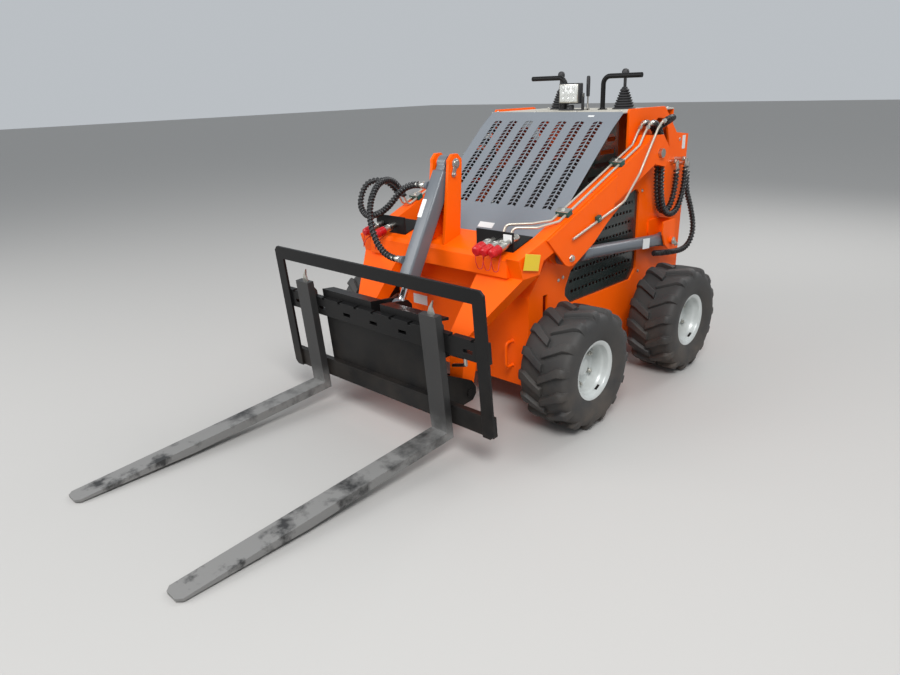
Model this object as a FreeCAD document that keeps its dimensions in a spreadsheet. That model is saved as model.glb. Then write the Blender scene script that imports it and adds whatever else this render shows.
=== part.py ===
import FreeCAD, Part
import Sketcher
import math
import os
import re

# Compact wheeled skid steer loader with a pallet fork.
# Lengths in mm, angles in degrees. The origin lies on the ground in the middle of the
# overall length, +Z is up, the forks point along -Y and the machine's left side is +X.

SIZES = (
    # name, value
    # wheels
    ("wheelbase", 780),
    ("wheel_gauge", 1090),
    ("tyre_diameter", 476),
    ("tyre_width", 220),
    ("shoulder_width", 176),
    ("tread_depth", 13),
    ("lug_pairs", 15),
    ("lug_thickness", 28),
    ("lug_sweep", 24),
    ("wheel_sides", 16),
    ("tyre_sides", 15),
    ("pin_sides", 12),
    ("bulge_diameter", 356),
    ("bead_diameter", 204),
    ("flange_diameter", 236),
    ("flange_width", 9),
    ("rim_width", 186),
    ("rim_wall", 6),
    ("bead_step", 8),
    ("disc_inset", 78),
    ("disc_thickness", 8),
    ("hub_radius", 52),
    ("hub_length", 60),
    ("hub_gap", 5),
    ("spindle_radius", 20),
    ("spindle_reach", 16),
    ("motor_width", 104),
    ("hub_cap_radius", 34),
    ("hub_cap_length", 22),
    # chassis
    ("chassis_width", 740),
    ("side_plate", 10),
    ("sheet", 5),
    ("belly_height", 115),
    ("nose_reach", 456),
    ("nose_height", 489),
    ("slope_reach", 352),
    ("slope_height", 612),
    ("tower_front", 227),
    ("tower_foot_height", 880),
    ("tower_height", 1155),
    ("tower_top_back", 538),
    ("step_back", 665),
    ("step_height", 1034),
    ("tail_back", 784),
    ("tail_top", 1021),
    ("tail_bottom_back", 750),
    ("tail_bottom", 190),
    # openings in the side plates and the grilles behind them
    ("window_front", -215),
    ("window_back", 350),
    ("window_bottom", 402),
    ("window_top", 812),
    ("window_knee", 520),
    ("window_peak", 285),
    ("window_ease", 44),
    ("grille_sheet", 3),
    ("grille_lap", 14),
    ("grille_slot", 12),
    ("slot_reach", 364),
    ("slot_width", 30),
    ("slot_bottom", 391),
    ("slot_height", 87),
    # engine and hood
    ("engine_front", 60),
    ("engine_back", 600),
    ("engine_width", 440),
    ("engine_bottom", 330),
    ("engine_top", 900),
    ("hood_width", 718),
    ("hood_sheet", 3),
    ("hood_back", 197),
    ("hood_top", 1145),
    ("hood_shoulder_back", 110),
    ("hood_shoulder", 1082),
    ("hood_knee_reach", 150),
    ("hood_knee", 850),
    ("hood_front", 330),
    ("hood_foot", 690),
    ("console_top", 1145),
    ("deck_front", 40),
    ("hood_inset", 18),
    ("hood_columns", 7),
    ("hood_pitch", 91),
    ("hood_slot", 14),
    ("hood_slot_gap", 12),
    ("hood_slots_back", 125),
    ("hood_slots_reach", 225),
    ("console_back", 640),
    ("console_lip", 6),
    # rear cover
    ("cover_width", 640),
    ("cover_foot", 730),
    ("cover_depth", 130),
    ("cover_bottom", 390),
    ("cover_top", 900),
    ("cover_ease", 70),
    ("cover_slot", 30),
    # controls
    ("stick_spread", 177),
    ("stick_back", 508),
    ("stick_length", 159),
    ("knob_radius", 17),
    ("boot_height", 92),
    ("boot_radius", 52),
    ("boot_neck", 20),
    ("boot_folds", 5),
    ("stick_radius", 7),
    ("rail_radius", 11),
    ("rail_rise", 145),
    ("rail_post", 105),
    ("rail_end", 300),
    ("rail_front_back", 440),
    ("rail_bend", 34),
    ("lamp_width", 110),
    ("lamp_depth", 60),
    ("lamp_height", 90),
    ("lamp_back", 330),
    ("lamp_side", -12),
    ("lamp_stand", 30),
    ("lever_side", 50),
    ("lever_back", 400),
    ("lever_height", 90),
    ("handle_side", 290),
    ("handle_radius", 6),
    ("handle_reach", 42),
    ("handle_bottom", 195),
    ("handle_lean", 14),
    ("handle_height", 104),
    ("buffer_side", 188),
    ("buffer_radius", 16),
    ("buffer_height", 22),
    # lift arm
    ("arm_spread", 820),
    ("arm_width", 60),
    ("arm_wall", 7),
    ("pivot_back", 388),
    ("pivot_height", 965),
    ("pivot_radius", 20),
    ("pivot_boss", 46),
    ("elbow_reach", 606),
    ("elbow_top", 675),
    ("elbow_bottom", 600),
    ("knee_reach", 444),
    ("knee_top", 724),
    ("arm_tail_back", 460),
    ("arm_tail_top", 1046),
    ("arm_tail_front", 294),
    ("pocket_floor", 928),
    ("hose_outlet", 24),
    ("bushing_radius", 34),
    ("arm_crest_back", 275),
    ("arm_crest", 1019),
    ("lift_pin_reach", 288),
    ("lift_pin_height", 626),
    ("lift_pin_radius", 15),
    ("gusset_plate", 8),
    ("gusset_ease", 14),
    ("arm_under_back", 346),
    ("arm_under_height", 921),
    ("arm_mid_back", 49),
    ("arm_mid_height", 800),
    ("pin_reach", 96),
    # legs and attachment hinge
    ("hinge_reach", 765),
    ("hinge_height", 190),
    ("hinge_radius", 16),
    ("leg_foot", 64),
    ("leg_foot_inside", 258),
    ("leg_foot_boss", 36),
    ("leg_neck", 70),
    ("leg_inside", 222),
    ("leg_depth", 100),
    ("leg_mid_height", 400),
    ("leg_mid_width", 96),
    ("leg_mid_reach", 755),
    ("ear_thick", 12),
    # cross member and tilt tower
    ("beam_inset", 6),
    ("ear_gap", 74),
    ("ear_plate", 14),
    ("tilt_pin_reach", 507),
    ("tilt_pin_height", 987),
    ("tilt_pin_radius", 17),
    ("tilt_ear_radius", 36),
    ("tower_web_height", 190),
    # couplers, steel tubes and hoses
    ("bracket_stand", 560),
    ("bracket_height", 72),
    ("bracket_depth", 116),
    ("bracket_sheet", 5),
    ("bracket_inside", 200),
    ("bracket_width", 178),
    ("coupler_rise", 36),
    ("coupler_droop", 14),
    ("coupler_tail", 50),
    ("coupler_neck", 26),
    ("coupler_collar", 24),
    ("coupler_front", 62),
    ("cap_length", 46),
    ("tube_radius", 5),
    ("tube_rise", 11),
    ("tube_inner", 392),
    ("tube_outer", 426),
    ("tube_side", 457),
    ("tube_top", 1094),
    ("clamp_length", 34),
    ("elbow_radius", 9),
    ("hose_radius", 9),
    # lift cylinders
    ("lift_base_back", 515),
    ("lift_base_height", 560),
    ("lift_barrel_radius", 27),
    ("lift_barrel_length", 690),
    ("lift_rod_radius", 13),
    ("lift_eye_radius", 26),
    ("lift_eye_width", 56),
    ("rod_eye_width", 34),
    ("clevis_plate", 8),
    ("clevis_gap", 66),
    ("clevis_radius", 38),
    ("clevis_nose", 76),
    ("clevis_height", 96),
    ("rod_start", 218),
    ("lift_port_reach", 62),
    # tilt cylinder
    ("tilt_eye_reach", 790),
    ("tilt_eye_height", 470),
    ("tilt_barrel_width", 62),
    ("tilt_barrel_length", 480),
    ("tilt_rod_radius", 15),
    ("tilt_eye_radius", 30),
    ("tilt_eye_width", 44),
    # attachment plate, fork frame and forks; the frame leans forward by fork_lean
    ("fork_lean", 4.86),
    ("heel_reach", 910),
    ("heel_height", 102),
    ("guard_width", 1154),
    ("guard_top", 566),
    ("guard_bottom", 28),
    ("guard_bar", 50),
    ("guard_plate", 10),
    ("guard_ease", 16),
    ("slot_pitch", 160),
    ("slot_drop", 52),
    ("carriage_bar_height", 76),
    ("carriage_bar_depth", 22),
    ("carriage_top", 380),
    ("notch_pitch", 101),
    ("notch_width", 14),
    ("notch_depth", 9),
    ("fork_spread", 722),
    ("fork_shift", 28),
    ("fork_corner", 16),
    ("fork_hook", 50),
    ("latch_rise", 50),
    ("latch_side", 312),
    ("latch_height", 262),
    ("latch_reach", 40),
    ("latch_radius", 7),
    ("fork_width", 80),
    ("fork_thickness", 32),
    ("fork_length", 1051),
    ("fork_tip", 9),
    ("fork_taper", 420),
    ("fork_height", 445),
    ("plate_width", 655),
    ("plate_top", 410),
    ("plate_lip", 46),
    ("plate_bottom", 60),
    ("plate_sheet", 10),
    # clearances
    ("running", 0.05),
)

doc = FreeCAD.newDocument("SkidSteerLoader")
sheet = doc.addObject("Spreadsheet::Sheet", "Sizes")
for row, (alias, number) in enumerate(SIZES, start=1):
    sheet.set(f"A{row}", alias)
    sheet.set(f"B{row}", str(number))
    sheet.setAlias(f"B{row}", alias)
doc.recompute()
NAMES = re.compile(r"\b(" + "|".join(alias for alias, _ in SIZES) + r")\b")
nodes = []

# The part's origin is the middle of its footprint: halfway between the fork tips and the
# rear cover. Everything is drawn from the middle of the wheelbase and moved by this much.
FORK_TIP_REACH = "heel_reach + fork_length * cos(fork_lean)"
COVER_BACK = "cover_foot + cover_depth"
FRAME_SHIFT = f"({FORK_TIP_REACH} - ({COVER_BACK})) / 2"


def expression(text):
    """Turns "wheelbase / 2" into an expression on the sheet's cells."""
    return NAMES.sub(r"Sizes.\1", str(text))


def value(text):
    """The present value of such an expression, as a plain number."""
    found = sheet.evalExpression(expression(text))
    return float(getattr(found, "Value", found))


def bind(thing, **sizes):
    for name, text in sizes.items():
        thing.setExpression(name.replace("__", "."), expression(text))
    return thing


def place(thing, x=0, y=0, z=0):
    return bind(thing, Placement__Base__x=x, Placement__Base__y=y, Placement__Base__z=z)


def box(name, length, width, height, x, y, z):
    """A block of the given sizes along X, Y and Z, from its lowest corner."""
    block = doc.addObject("Part::Box", name)
    bind(block, Length=length, Width=width, Height=height)
    return place(block, x, y, z)


TURNS = {
    "X": FreeCAD.Rotation(FreeCAD.Vector(0, 1, 0), 90),
    "Y": FreeCAD.Rotation(FreeCAD.Vector(1, 0, 0), -90),
    "Z": FreeCAD.Rotation(),
}


def cylinder(name, radius, length, x, y, z, axis="X"):
    """A round bar that starts at x, y, z and runs along the axis."""
    bar = doc.addObject("Part::Cylinder", name)
    bar.Placement = FreeCAD.Placement(FreeCAD.Vector(), TURNS[axis])
    bind(bar, Radius=radius, Height=length)
    return place(bar, x, y, z)


def sided(name, across, length, x, y, z, axis="X", sides=12):
    """A bar with flat sides, measured across its corners."""
    bar = doc.addObject("Part::Prism", name)
    bar.Placement = FreeCAD.Placement(FreeCAD.Vector(), TURNS[axis])
    bind(bar, Polygon=sides, Circumradius=f"({across}) / 2", Height=length)
    return place(bar, x, y, z)


def skinned(rings):
    """A solid with flat faces between rings of corners, closed at its first and last ring."""
    faces = [Part.Face(Part.makePolygon(end + [end[0]])) for end in (rings[0], rings[-1])]
    for low, high in zip(rings, rings[1:]):
        for number in range(len(low)):
            after = (number + 1) % len(low)
            corners = [low[number], low[after], high[after], high[number], low[number]]
            faces.append(Part.Face(Part.makePolygon(corners)))
    solid = Part.Solid(Part.Shell(faces))
    if solid.Volume < 0:
        solid.reverse()
    return solid


def stacked(name, sections, axis="X", sides=12, x=0, y=0):
    """A body through rings, each (place along the axis, width across corners). A loft would
    give it warped faces where these are flat."""
    count = int(value(sides))
    turns = [FreeCAD.Rotation(FreeCAD.Vector(0, 0, 1), 360 * number / count) for number in range(count)]
    rings = []
    for along, across in sections:
        spot = FreeCAD.Vector(*(value(text) for text in {"X": (along, y, 0), "Z": (x, y, along)}[axis]))
        corner = FreeCAD.Vector(value(f"({across}) / 2"), 0, 0)
        rings.append([spot + TURNS[axis].multVec(turn.multVec(corner)) for turn in turns])
    return feature(name, skinned(rings))


def outline(body, name, plane, points, start):
    """A sketch on one of the body's planes, each corner held by two bound distances."""
    sketch = body.newObject("Sketcher::SketchObject", name)
    support = [f for f in body.Origin.OriginFeatures if f.Role == plane + "_Plane"][0]
    sketch.AttachmentSupport = (support, "")
    sketch.MapMode = "FlatFace"
    bind(sketch, AttachmentOffset__Base__z=start)
    corners = [(value(u), value(v)) for u, v in points]
    count = len(corners)
    for index, (u, v) in enumerate(corners):
        end = corners[(index + 1) % count]
        sketch.addGeometry(Part.LineSegment(FreeCAD.Vector(u, v, 0), FreeCAD.Vector(*end, 0)), False)
    for index in range(count):
        sketch.addConstraint(Sketcher.Constraint("Coincident", index, 2, (index + 1) % count, 1))
    for index, (u, v) in enumerate(points):
        for kind, text, number in (("DistanceX", u, corners[index][0]), ("DistanceY", v, corners[index][1])):
            held = sketch.addConstraint(Sketcher.Constraint(kind, -1, 1, index, 1, number))
            sketch.setExpression(f"Constraints[{held}]", expression(text))
    return sketch


def prism(name, plane, points, start, depth, rounds=(), bevels=()):
    """A padded outline. On YZ it runs from x = start along +X, on XZ from y = start
    along -Y, on XY from z = start along +Z. rounds and bevels list (size, corner numbers)."""
    body = doc.addObject("PartDesign::Body", name)
    offset = f"-({start})" if plane == "XZ" else start
    sketch = outline(body, name + "Outline", plane, points, offset)
    pad = body.newObject("PartDesign::Pad", name + "Pad")
    pad.Profile = sketch
    bind(pad, Length=depth)
    sketch.Visibility = False
    if rounds or bevels:
        doc.recompute()
    last = pad
    eases = [("Fillet", "Radius", *row) for row in rounds] + [("Chamfer", "Size", *row) for row in bevels]
    for number, (kind, size_name, size, corners) in enumerate(eases):
        edges = []
        for corner in corners:
            u, v = (value(text) for text in points[corner])
            edges.append(edge_at(last.Shape, plane, u, v))
        ease = body.newObject(f"PartDesign::{kind}", f"{name}Ease{number}")
        ease.Base = (last, edges)
        bind(ease, **{size_name: size})
        body.Tip = ease
        last = ease
        doc.recompute()
    return body


def edge_at(shape, plane, u, v):
    """The name of the straight edge that stands on the plane at u, v."""
    place_of = {"YZ": lambda p: (p.y, p.z), "XZ": lambda p: (p.x, p.z), "XY": lambda p: (p.x, p.y)}[plane]
    for number, edge in enumerate(shape.Edges, start=1):
        ends = [place_of(vertex.Point) for vertex in edge.Vertexes]
        if len(ends) == 2 and all(math.dist(end, (u, v)) < 0.01 for end in ends):
            return f"Edge{number}"
    raise ValueError(f"no edge at {u}, {v}")


def fuse(name, parts):
    joined = doc.addObject("Part::MultiFuse", name)
    joined.Shapes = parts
    joined.Refine = True
    return joined


def cut(name, base, tool):
    result = doc.addObject("Part::Cut", name)
    result.Base = base
    result.Tool = tool
    result.Refine = True
    return result


def both(name, parts):
    """Several solids that stay apart, kept as one sub-part."""
    group = doc.addObject("Part::Compound", name)
    group.Links = parts
    return group


def mirrored(name, source):
    """The same piece on the machine's other side."""
    other = doc.addObject("Part::Mirroring", name)
    other.Source = source
    other.Normal = FreeCAD.Vector(1, 0, 0)
    return other


def node(label, thing):
    """Names a finished sub-part and moves it from the axles' frame to the part's own."""
    set_down = both(label.title().replace("_", "") + "Node", [thing])
    place(set_down, 0, FRAME_SHIFT, 0)
    set_down.Label = label
    nodes.append(set_down)


def pair(name, thing):
    return both(name, [thing, mirrored(name + "Other", thing)])


def feature(name, shape):
    thing = doc.addObject("Part::Feature", name)
    thing.Shape = shape
    thing.Placement = FreeCAD.Placement()
    return thing


def rounded_route(points, chord=24):
    """The route's corners turned into tangent arcs, each as large as its two runs allow,
    in chords of at most so many degrees. Returns the points and the arcs' radii."""
    path, radii = [points[0]], []
    for before, corner, after in zip(points, points[1:], points[2:]):
        arriving, leaving = (corner - before), (after - corner)
        run = min(arriving.Length, leaving.Length)
        turn = arriving.getAngle(leaving)
        arriving.normalize()
        leaving.normalize()
        if math.degrees(turn) < chord:
            path.append(corner)
            continue
        radius = 0.45 * run / math.tan(turn / 2)
        radii.append(round(radius))
        across = leaving - arriving * arriving.dot(leaving)
        across.normalize()
        start = corner - arriving * (0.45 * run)
        centre = start + across * radius
        steps = math.ceil(math.degrees(turn) / chord)
        for step in range(steps + 1):
            angle = turn * step / steps
            path.append(centre - across * (radius * math.cos(angle)) + arriving * (radius * math.sin(angle)))
    path.append(points[-1])
    return path, radii


def tube(name, points, radius, sides=6):
    """A flat sided bar along the points, mitred at each, of the same section all the way."""
    steps = [(after - before).normalize() for before, after in zip(points, points[1:])]
    first = steps[0].cross(FreeCAD.Vector(0, 0, 1) if abs(steps[0].z) < 0.9 else FreeCAD.Vector(1, 0, 0))
    first.normalize()
    second = steps[0].cross(first)
    ring = []
    for number in range(sides):
        angle = 2 * math.pi * number / sides
        ring.append(points[0] + first * (radius * math.cos(angle)) + second * (radius * math.sin(angle)))
    rings = [ring]
    for number, step in enumerate(steps):
        corner = points[number + 1]
        normal = step + steps[number + 1] if number + 1 < len(steps) else step
        rings.append([spot + step * ((corner - spot).dot(normal) / step.dot(normal)) for spot in rings[-1]])
    return feature(name, skinned(rings))


def routed(rows):
    """Vectors from rows of (x, y, z) texts or numbers."""
    return [FreeCAD.Vector(*(value(text) for text in row)) for row in rows]



def aimed(thing, x, y, z, angle):
    """Sets a piece drawn about its own origin at x, y, z, turned about X."""
    thing.Placement = FreeCAD.Placement(FreeCAD.Vector(), FreeCAD.Rotation(FreeCAD.Vector(1, 0, 0), 10))
    bind(thing, Placement__Rotation__Angle=angle)
    return place(thing, x, y, z)


def profiled(name, sections):
    """What a side outline and a front outline share, through rows of
    (height, x low, x high, y low, y high)."""
    front = [(row[1], row[0]) for row in sections] + [(row[2], row[0]) for row in reversed(sections)]
    side = [(row[3], row[0]) for row in sections] + [(row[4], row[0]) for row in reversed(sections)]
    shared = doc.addObject("Part::MultiCommon", name)
    shared.Shapes = [prism(name + "Side", "YZ", side, "0", "chassis_width"),
                     prism(name + "Front", "XZ", front, "0", "2 * hinge_reach")]
    return shared


# Wheels: lugged tyres on dished rims, each turning on a spindle that its motor carries.

# where each ring of the carcass lies along the axle, and its width across
TYRE_RINGS = (
    ("-tyre_width / 2 + 26", "flange_diameter + 12"),
    ("-tyre_width / 2", "bulge_diameter + 10"),
    ("-shoulder_width / 2", "tyre_diameter - 2 * tread_depth"),
)
LUG_SPAN = "(tan(lug_sweep) * tyre_width / 2)"


def tyre():
    """A flat sided carcass with pairs of swept lugs, their tops cut to the tyre's diameter."""
    rings = TYRE_RINGS + tuple((f"-({along})", across) for along, across in reversed(TYRE_RINGS))
    carcass = stacked("Carcass", rings, sides="tyre_sides")
    bead = sided("Bead", "bead_diameter", "tyre_width", "-tyre_width / 2", 0, 0, sides="wheel_sides")
    half, thick = f"({LUG_SPAN} + lug_thickness) / 2", "lug_thickness"
    near, bend, far = "-4", "shoulder_width * 0.42", "tyre_width / 2 - 3"
    top = f"sqrt((tyre_diameter / 2)^2 - ({half})^2)"
    sunk = "bulge_diameter / 2 + 12"
    plan = prism("LugPlan", "XY", (
        (near, f"-({half})"), (bend, f"({half}) - {thick} * 1.25"), (far, f"({half}) - {thick} * 1.1"),
        (far, half), (bend, half), (near, f"{thick} - ({half})")), sunk, f"{top} - ({sunk})")
    shoulder = prism("LugShoulder", "XZ", (
        ("shoulder_width / 2 + 2", f"{top} + 1"), ("tyre_width / 2", f"{top} + 1"),
        ("tyre_width / 2", f"{top} - tread_depth * 2.2")), "80", "160")
    lug = cut("Lug", plan, shoulder)
    lug_other = mirrored("LugOther", lug)
    lugs = []
    for word, source, late in (("Left", lug, "0"), ("Right", lug_other, "180 / lug_pairs")):
        for number in range(int(value("lug_pairs"))):
            copy = both(f"Lug{word}{number}", [source])
            aimed(copy, 0, 0, 0, f"({number} * 360 / lug_pairs + {late}) * 1 deg + atan2({half}; {top})")
            lugs.append(copy)
    return cut("Tyre", fuse("TyreSolid", [carcass] + lugs), bead)


def rim():
    """A flanged barrel, a deep set disc and the hub behind it, bored for its spindle."""
    wall, face = "bead_diameter - 2 * rim_wall", "rim_width / 2 - disc_inset"
    rings = (("Barrel", "bead_diameter", "-rim_width / 2", "rim_width"),
             ("FlangeIn", "flange_diameter", "-rim_width / 2", "flange_width"),
             ("FlangeOut", "flange_diameter", "rim_width / 2 - flange_width", "flange_width"))
    solid = [sided(name, across, length, x, 0, 0, sides="wheel_sides") for name, across, x, length in rings]
    back = f"{face} - disc_thickness + rim_width / 2 + 1"
    wells = (("WellMouth", wall, "rim_width / 2 - bead_step", "bead_step + 1"),
             ("WellFront", f"{wall} - 2 * bead_step", face, "disc_inset + 1"),
             ("WellBack", wall, "-rim_width / 2 - 1", back))
    rooms = [sided(name, across, length, x, 0, 0, sides="wheel_sides") for name, across, x, length in wells]
    shell = cut("RimShell", fuse("RimSolid", solid), fuse("RimWells", rooms))
    hub = sided("Hub", "2 * hub_radius", f"{face} - 2 + hub_length", "-hub_length", 0, 0)
    cap = sided("HubCap", "2 * hub_cap_radius", "hub_cap_length + 2", f"{face} - 2", 0, 0)
    bore = cylinder("HubBore", "spindle_radius + running", "hub_length + spindle_reach + running + 1",
                    "-hub_length - 1", 0, 0)
    return cut("Rim", fuse("RimBody", [shell, hub, cap]), bore)


def wheels():
    left = (tyre(), rim())
    right = tuple(mirrored(piece.Name + "Other", piece) for piece in left)
    for side, sign, pieces in (("left", "", left), ("right", "-", right)):
        for end, along in (("front", "-wheelbase / 2"), ("rear", "wheelbase / 2")):
            for word, piece in zip(("tyre", "rim"), pieces):
                copy = both(f"{word}_{side}_{end}".title().replace("_", ""), [piece])
                place(copy, f"{sign}wheel_gauge / 2", along, "tyre_diameter / 2")
                node(f"{side}_{end}_{word}", copy)


def wheel_motors():
    """A motor on the side plate for each wheel, with the spindle that carries the hub."""
    motors = []
    for end, along in (("Front", "-wheelbase / 2"), ("Rear", "wheelbase / 2")):
        face = "wheel_gauge / 2 - hub_length - hub_gap"
        housing = box(f"Motor{end}", f"{face} - chassis_width / 2", "motor_width", "motor_width", "chassis_width / 2",
                      f"{along} - motor_width / 2", "(tyre_diameter - motor_width) / 2")
        spindle = sided(f"Spindle{end}", "2 * spindle_radius", "hub_length + hub_gap + spindle_reach", face, along,
                        "tyre_diameter / 2", sides="pin_sides")
        motors.append(fuse(f"WheelMotor{end}", [housing, spindle]))
    left = both("MotorsLeft", motors)
    node("wheel_motors", pair("WheelMotors", left))


# Chassis: a welded tub of side plates, nose, floor, engine deck and the rear towers.

SIDE = (
    ("-nose_reach", "belly_height"),
    ("-nose_reach", "nose_height"),
    ("-slope_reach", "slope_height"),
    ("tower_front", "tower_foot_height"),
    ("tower_front", "tower_height"),
    ("tower_top_back", "tower_height"),
    ("step_back", "step_height"),
    ("tail_back", "tail_top"),
    ("tail_bottom_back", "tail_bottom"),
    ("tail_bottom_back - 90", "belly_height"),
)
WINDOW = (
    ("window_front", "window_bottom"),
    ("window_back", "window_bottom"),
    ("window_back", "window_top"),
    ("window_peak", "window_top"),
    ("window_front", "window_knee"),
)


# how much the corners are cut, by the corners' numbers
WINDOW_EASES = (("window_ease", (0, 1, 4)), ("window_ease / 2", (2, 3)))
# corners of the opening in each rear tower, y and z
CRESCENT = ((430, 1050), (445, 1088), (480, 1108), (534, 1102), (575, 1056), (602, 975), (510, 1010), (480, 1058))
# rows of slots in the side grilles: front end, back end, height over the window's bottom
GRILLE_ROWS = ((-160, 300, 40), (-170, 310, 85), (-160, 310, 130), (-90, 310, 175), (-10, 310, 220),
               (60, 310, 265), (120, 310, 310), (190, 310, 350))


def grown(points, margin):
    """The window's outline moved outwards, for the sheet that laps behind it."""
    signs = ((-1, -1), (1, -1), (1, 1), (-1, 1), (-1, 0.4))
    return [(f"{u} + ({su}) * {margin}", f"{v} + ({sv}) * {margin}") for (u, v), (su, sv) in zip(points, signs)]


def chassis():
    inner = "chassis_width / 2 - side_plate"
    side = prism("SidePlate", "YZ", SIDE, inner, "side_plate", bevels=(("8", (1, 4, 5)),))
    window = prism("Window", "YZ", WINDOW, f"{inner} - 1", "side_plate + 2",
                   bevels=WINDOW_EASES)
    slot = box("SideSlot", "side_plate + 2", "slot_width", "slot_height", f"{inner} - 1", "-slot_reach", "slot_bottom")
    crescent = prism("TowerOpening", "YZ", CRESCENT, f"{inner} - 1", "side_plate + 2")
    socket = sided("PivotSocket", "2 * (pivot_radius + running)", "side_plate + 2", f"{inner} - 1", "pivot_back",
                   "pivot_height", sides="pin_sides")
    pierced = cut("SidePierced", side, fuse("SideOpenings", [window, slot, crescent, socket]))
    span = f"2 * ({inner})"
    across = {"length": span, "x": f"-({inner})"}
    nose = box("Nose", span, "sheet", "nose_height - belly_height", across["x"], "-nose_reach", "belly_height")
    slope = prism("Slope", "YZ", (("-nose_reach", "nose_height - sheet"), ("-nose_reach", "nose_height"),
                                  ("-slope_reach", "slope_height"), ("-slope_reach + sheet", "slope_height - sheet")),
                  f"-({inner})", span)
    floor = box("Floor", span, "tail_bottom_back - 90 + nose_reach", "sheet", across["x"], "-nose_reach",
                "belly_height")
    deck = box("EngineDeck", span, "engine_back + 40 - deck_front", "sheet", across["x"], "deck_front",
               "engine_bottom - sheet")
    rear_low = box("RearLow", span, "sheet", "cover_bottom - tail_bottom", across["x"],
                   "tail_bottom_back - 20", "tail_bottom")
    rear_high = box("RearHigh", span, "sheet", "console_top - console_lip - cover_top", across["x"],
                    "console_back - sheet", "cover_top")
    node("chassis_frame", fuse("ChassisFrame", [pierced, mirrored("SideOther", pierced), nose, slope, floor, deck,
                                                rear_low, rear_high]))


def grilles():
    """A sheet behind each window with rows of long slots."""
    inner = "chassis_width / 2 - side_plate - grille_sheet"
    grille = prism("SideGrille", "YZ", grown(WINDOW, "grille_lap"), inner, "grille_sheet",
                   bevels=WINDOW_EASES)
    rows = []
    for number, (front, back, height) in enumerate(GRILLE_ROWS):
        rows.append(box(f"GrilleRow{number}", "grille_sheet + 2", f"{back} - ({front})", "grille_slot", f"{inner} - 1",
                        front, f"window_bottom + {height}"))
    node("side_grilles", pair("SideGrilles", cut("SideGrilleSlotted", grille, fuse("GrilleRows", rows))))


def engine():
    node("engine_block", box("EngineBlock", "engine_width", "engine_back - engine_front",
                             "engine_top - engine_bottom", "-engine_width / 2", "engine_front", "engine_bottom"))


HOOD = (
    ("hood_back", "hood_top"),
    ("hood_shoulder_back", "hood_shoulder"),
    ("-hood_knee_reach", "hood_knee"),
    ("-hood_front", "hood_foot"),
    ("-slope_reach", "slope_height"),
)


# slots in the sheets beside the hood: front end, back end, height
HOOD_VENTS = ((-80, 150, 830), (-30, 160, 880), (20, 165, 930), (60, 170, 980), (110, 175, 1030))


def hood():
    under = [(u, f"{v} - hood_sheet * 1.35") for u, v in HOOD[:4]]
    points = list(HOOD) + [("-slope_reach + hood_sheet", "slope_height")] + under[::-1]
    points[6] = ("-hood_front + hood_sheet", "hood_foot - hood_sheet")
    sheet_body = prism("Hood", "YZ", points, "-hood_width / 2", "hood_width")
    slots = []
    for column in range(int(value("hood_columns"))):
        middle = f"({column} - (hood_columns - 1) / 2) * hood_pitch"
        for word, x in (("A", f"{middle} - hood_slot_gap / 2 - hood_slot"), ("B", f"{middle} + hood_slot_gap / 2")):
            slots.append(box(f"HoodSlot{column}{word}", "hood_slot", "hood_slots_back + hood_slots_reach",
                             "hood_top - hood_foot", x, "-hood_slots_reach", "hood_foot + 60"))
    node("hood", cut("HoodSlotted", sheet_body, fuse("HoodSlots", slots)))
    side = [(u, f"{v} - hood_sheet * 1.35") for u, v in HOOD[:3]]
    side += [("-hood_front + hood_sheet", "hood_foot - hood_sheet"), ("-slope_reach + 20", "slope_height + 12"),
             ("hood_back", "tower_foot_height - 12")]
    cheek = prism("HoodSide", "YZ", side, "hood_width / 2 - hood_inset - grille_sheet", "grille_sheet")
    vents = [box(f"HoodVent{number}", "grille_sheet + 2", f"{back} - ({front})", "grille_slot * 1.5",
                 "hood_width / 2 - hood_inset - grille_sheet - 1", front, height)
             for number, (front, back, height) in enumerate(HOOD_VENTS)]
    node("hood_side_sheets", pair("HoodSides", cut("HoodSideSlotted", cheek, fuse("HoodVents", vents))))


def console():
    inner = "chassis_width / 2 - side_plate"
    top = box("ConsoleTop", f"2 * ({inner})", "console_back - hood_back", "console_lip", f"-({inner})", "hood_back",
              "console_top - console_lip")
    node("control_console", top)


def rear_cover():
    """A bowed sheet over the engine's rear with slots across, open towards the chassis."""
    low, high, back = "cover_bottom", "cover_top", "cover_foot"
    outer = ((back, low), (f"{back} + cover_depth", low), (f"{back} + cover_depth", high), (back, high))
    skin = prism("CoverSkin", "YZ", outer, "-cover_width / 2", "cover_width", bevels=(("cover_ease", (1, 2)),))
    hollow = ((f"{back} - 1", f"{low} + sheet"), (f"{back} + cover_depth - sheet", f"{low} + sheet"),
              (f"{back} + cover_depth - sheet", f"{high} - sheet"), (f"{back} - 1", f"{high} - sheet"))
    room = prism("CoverRoom", "YZ", hollow, "-cover_width / 2 + sheet", "cover_width - 2 * sheet",
                 bevels=(("cover_ease - sheet / 2", (1, 2)),))
    slots = [box(f"CoverSlot{number}", "cover_width - 2 * cover_ease", "sheet + 4", "cover_slot",
                 "cover_ease - cover_width / 2", f"{back} + cover_depth - sheet - 2",
                 f"{low} + cover_ease + {number} * cover_slot * 2.4") for number in range(6)]
    node("rear_cover", cut("RearCover", skin, fuse("CoverRooms", [room] + slots)))


# Controls on the console.

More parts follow.
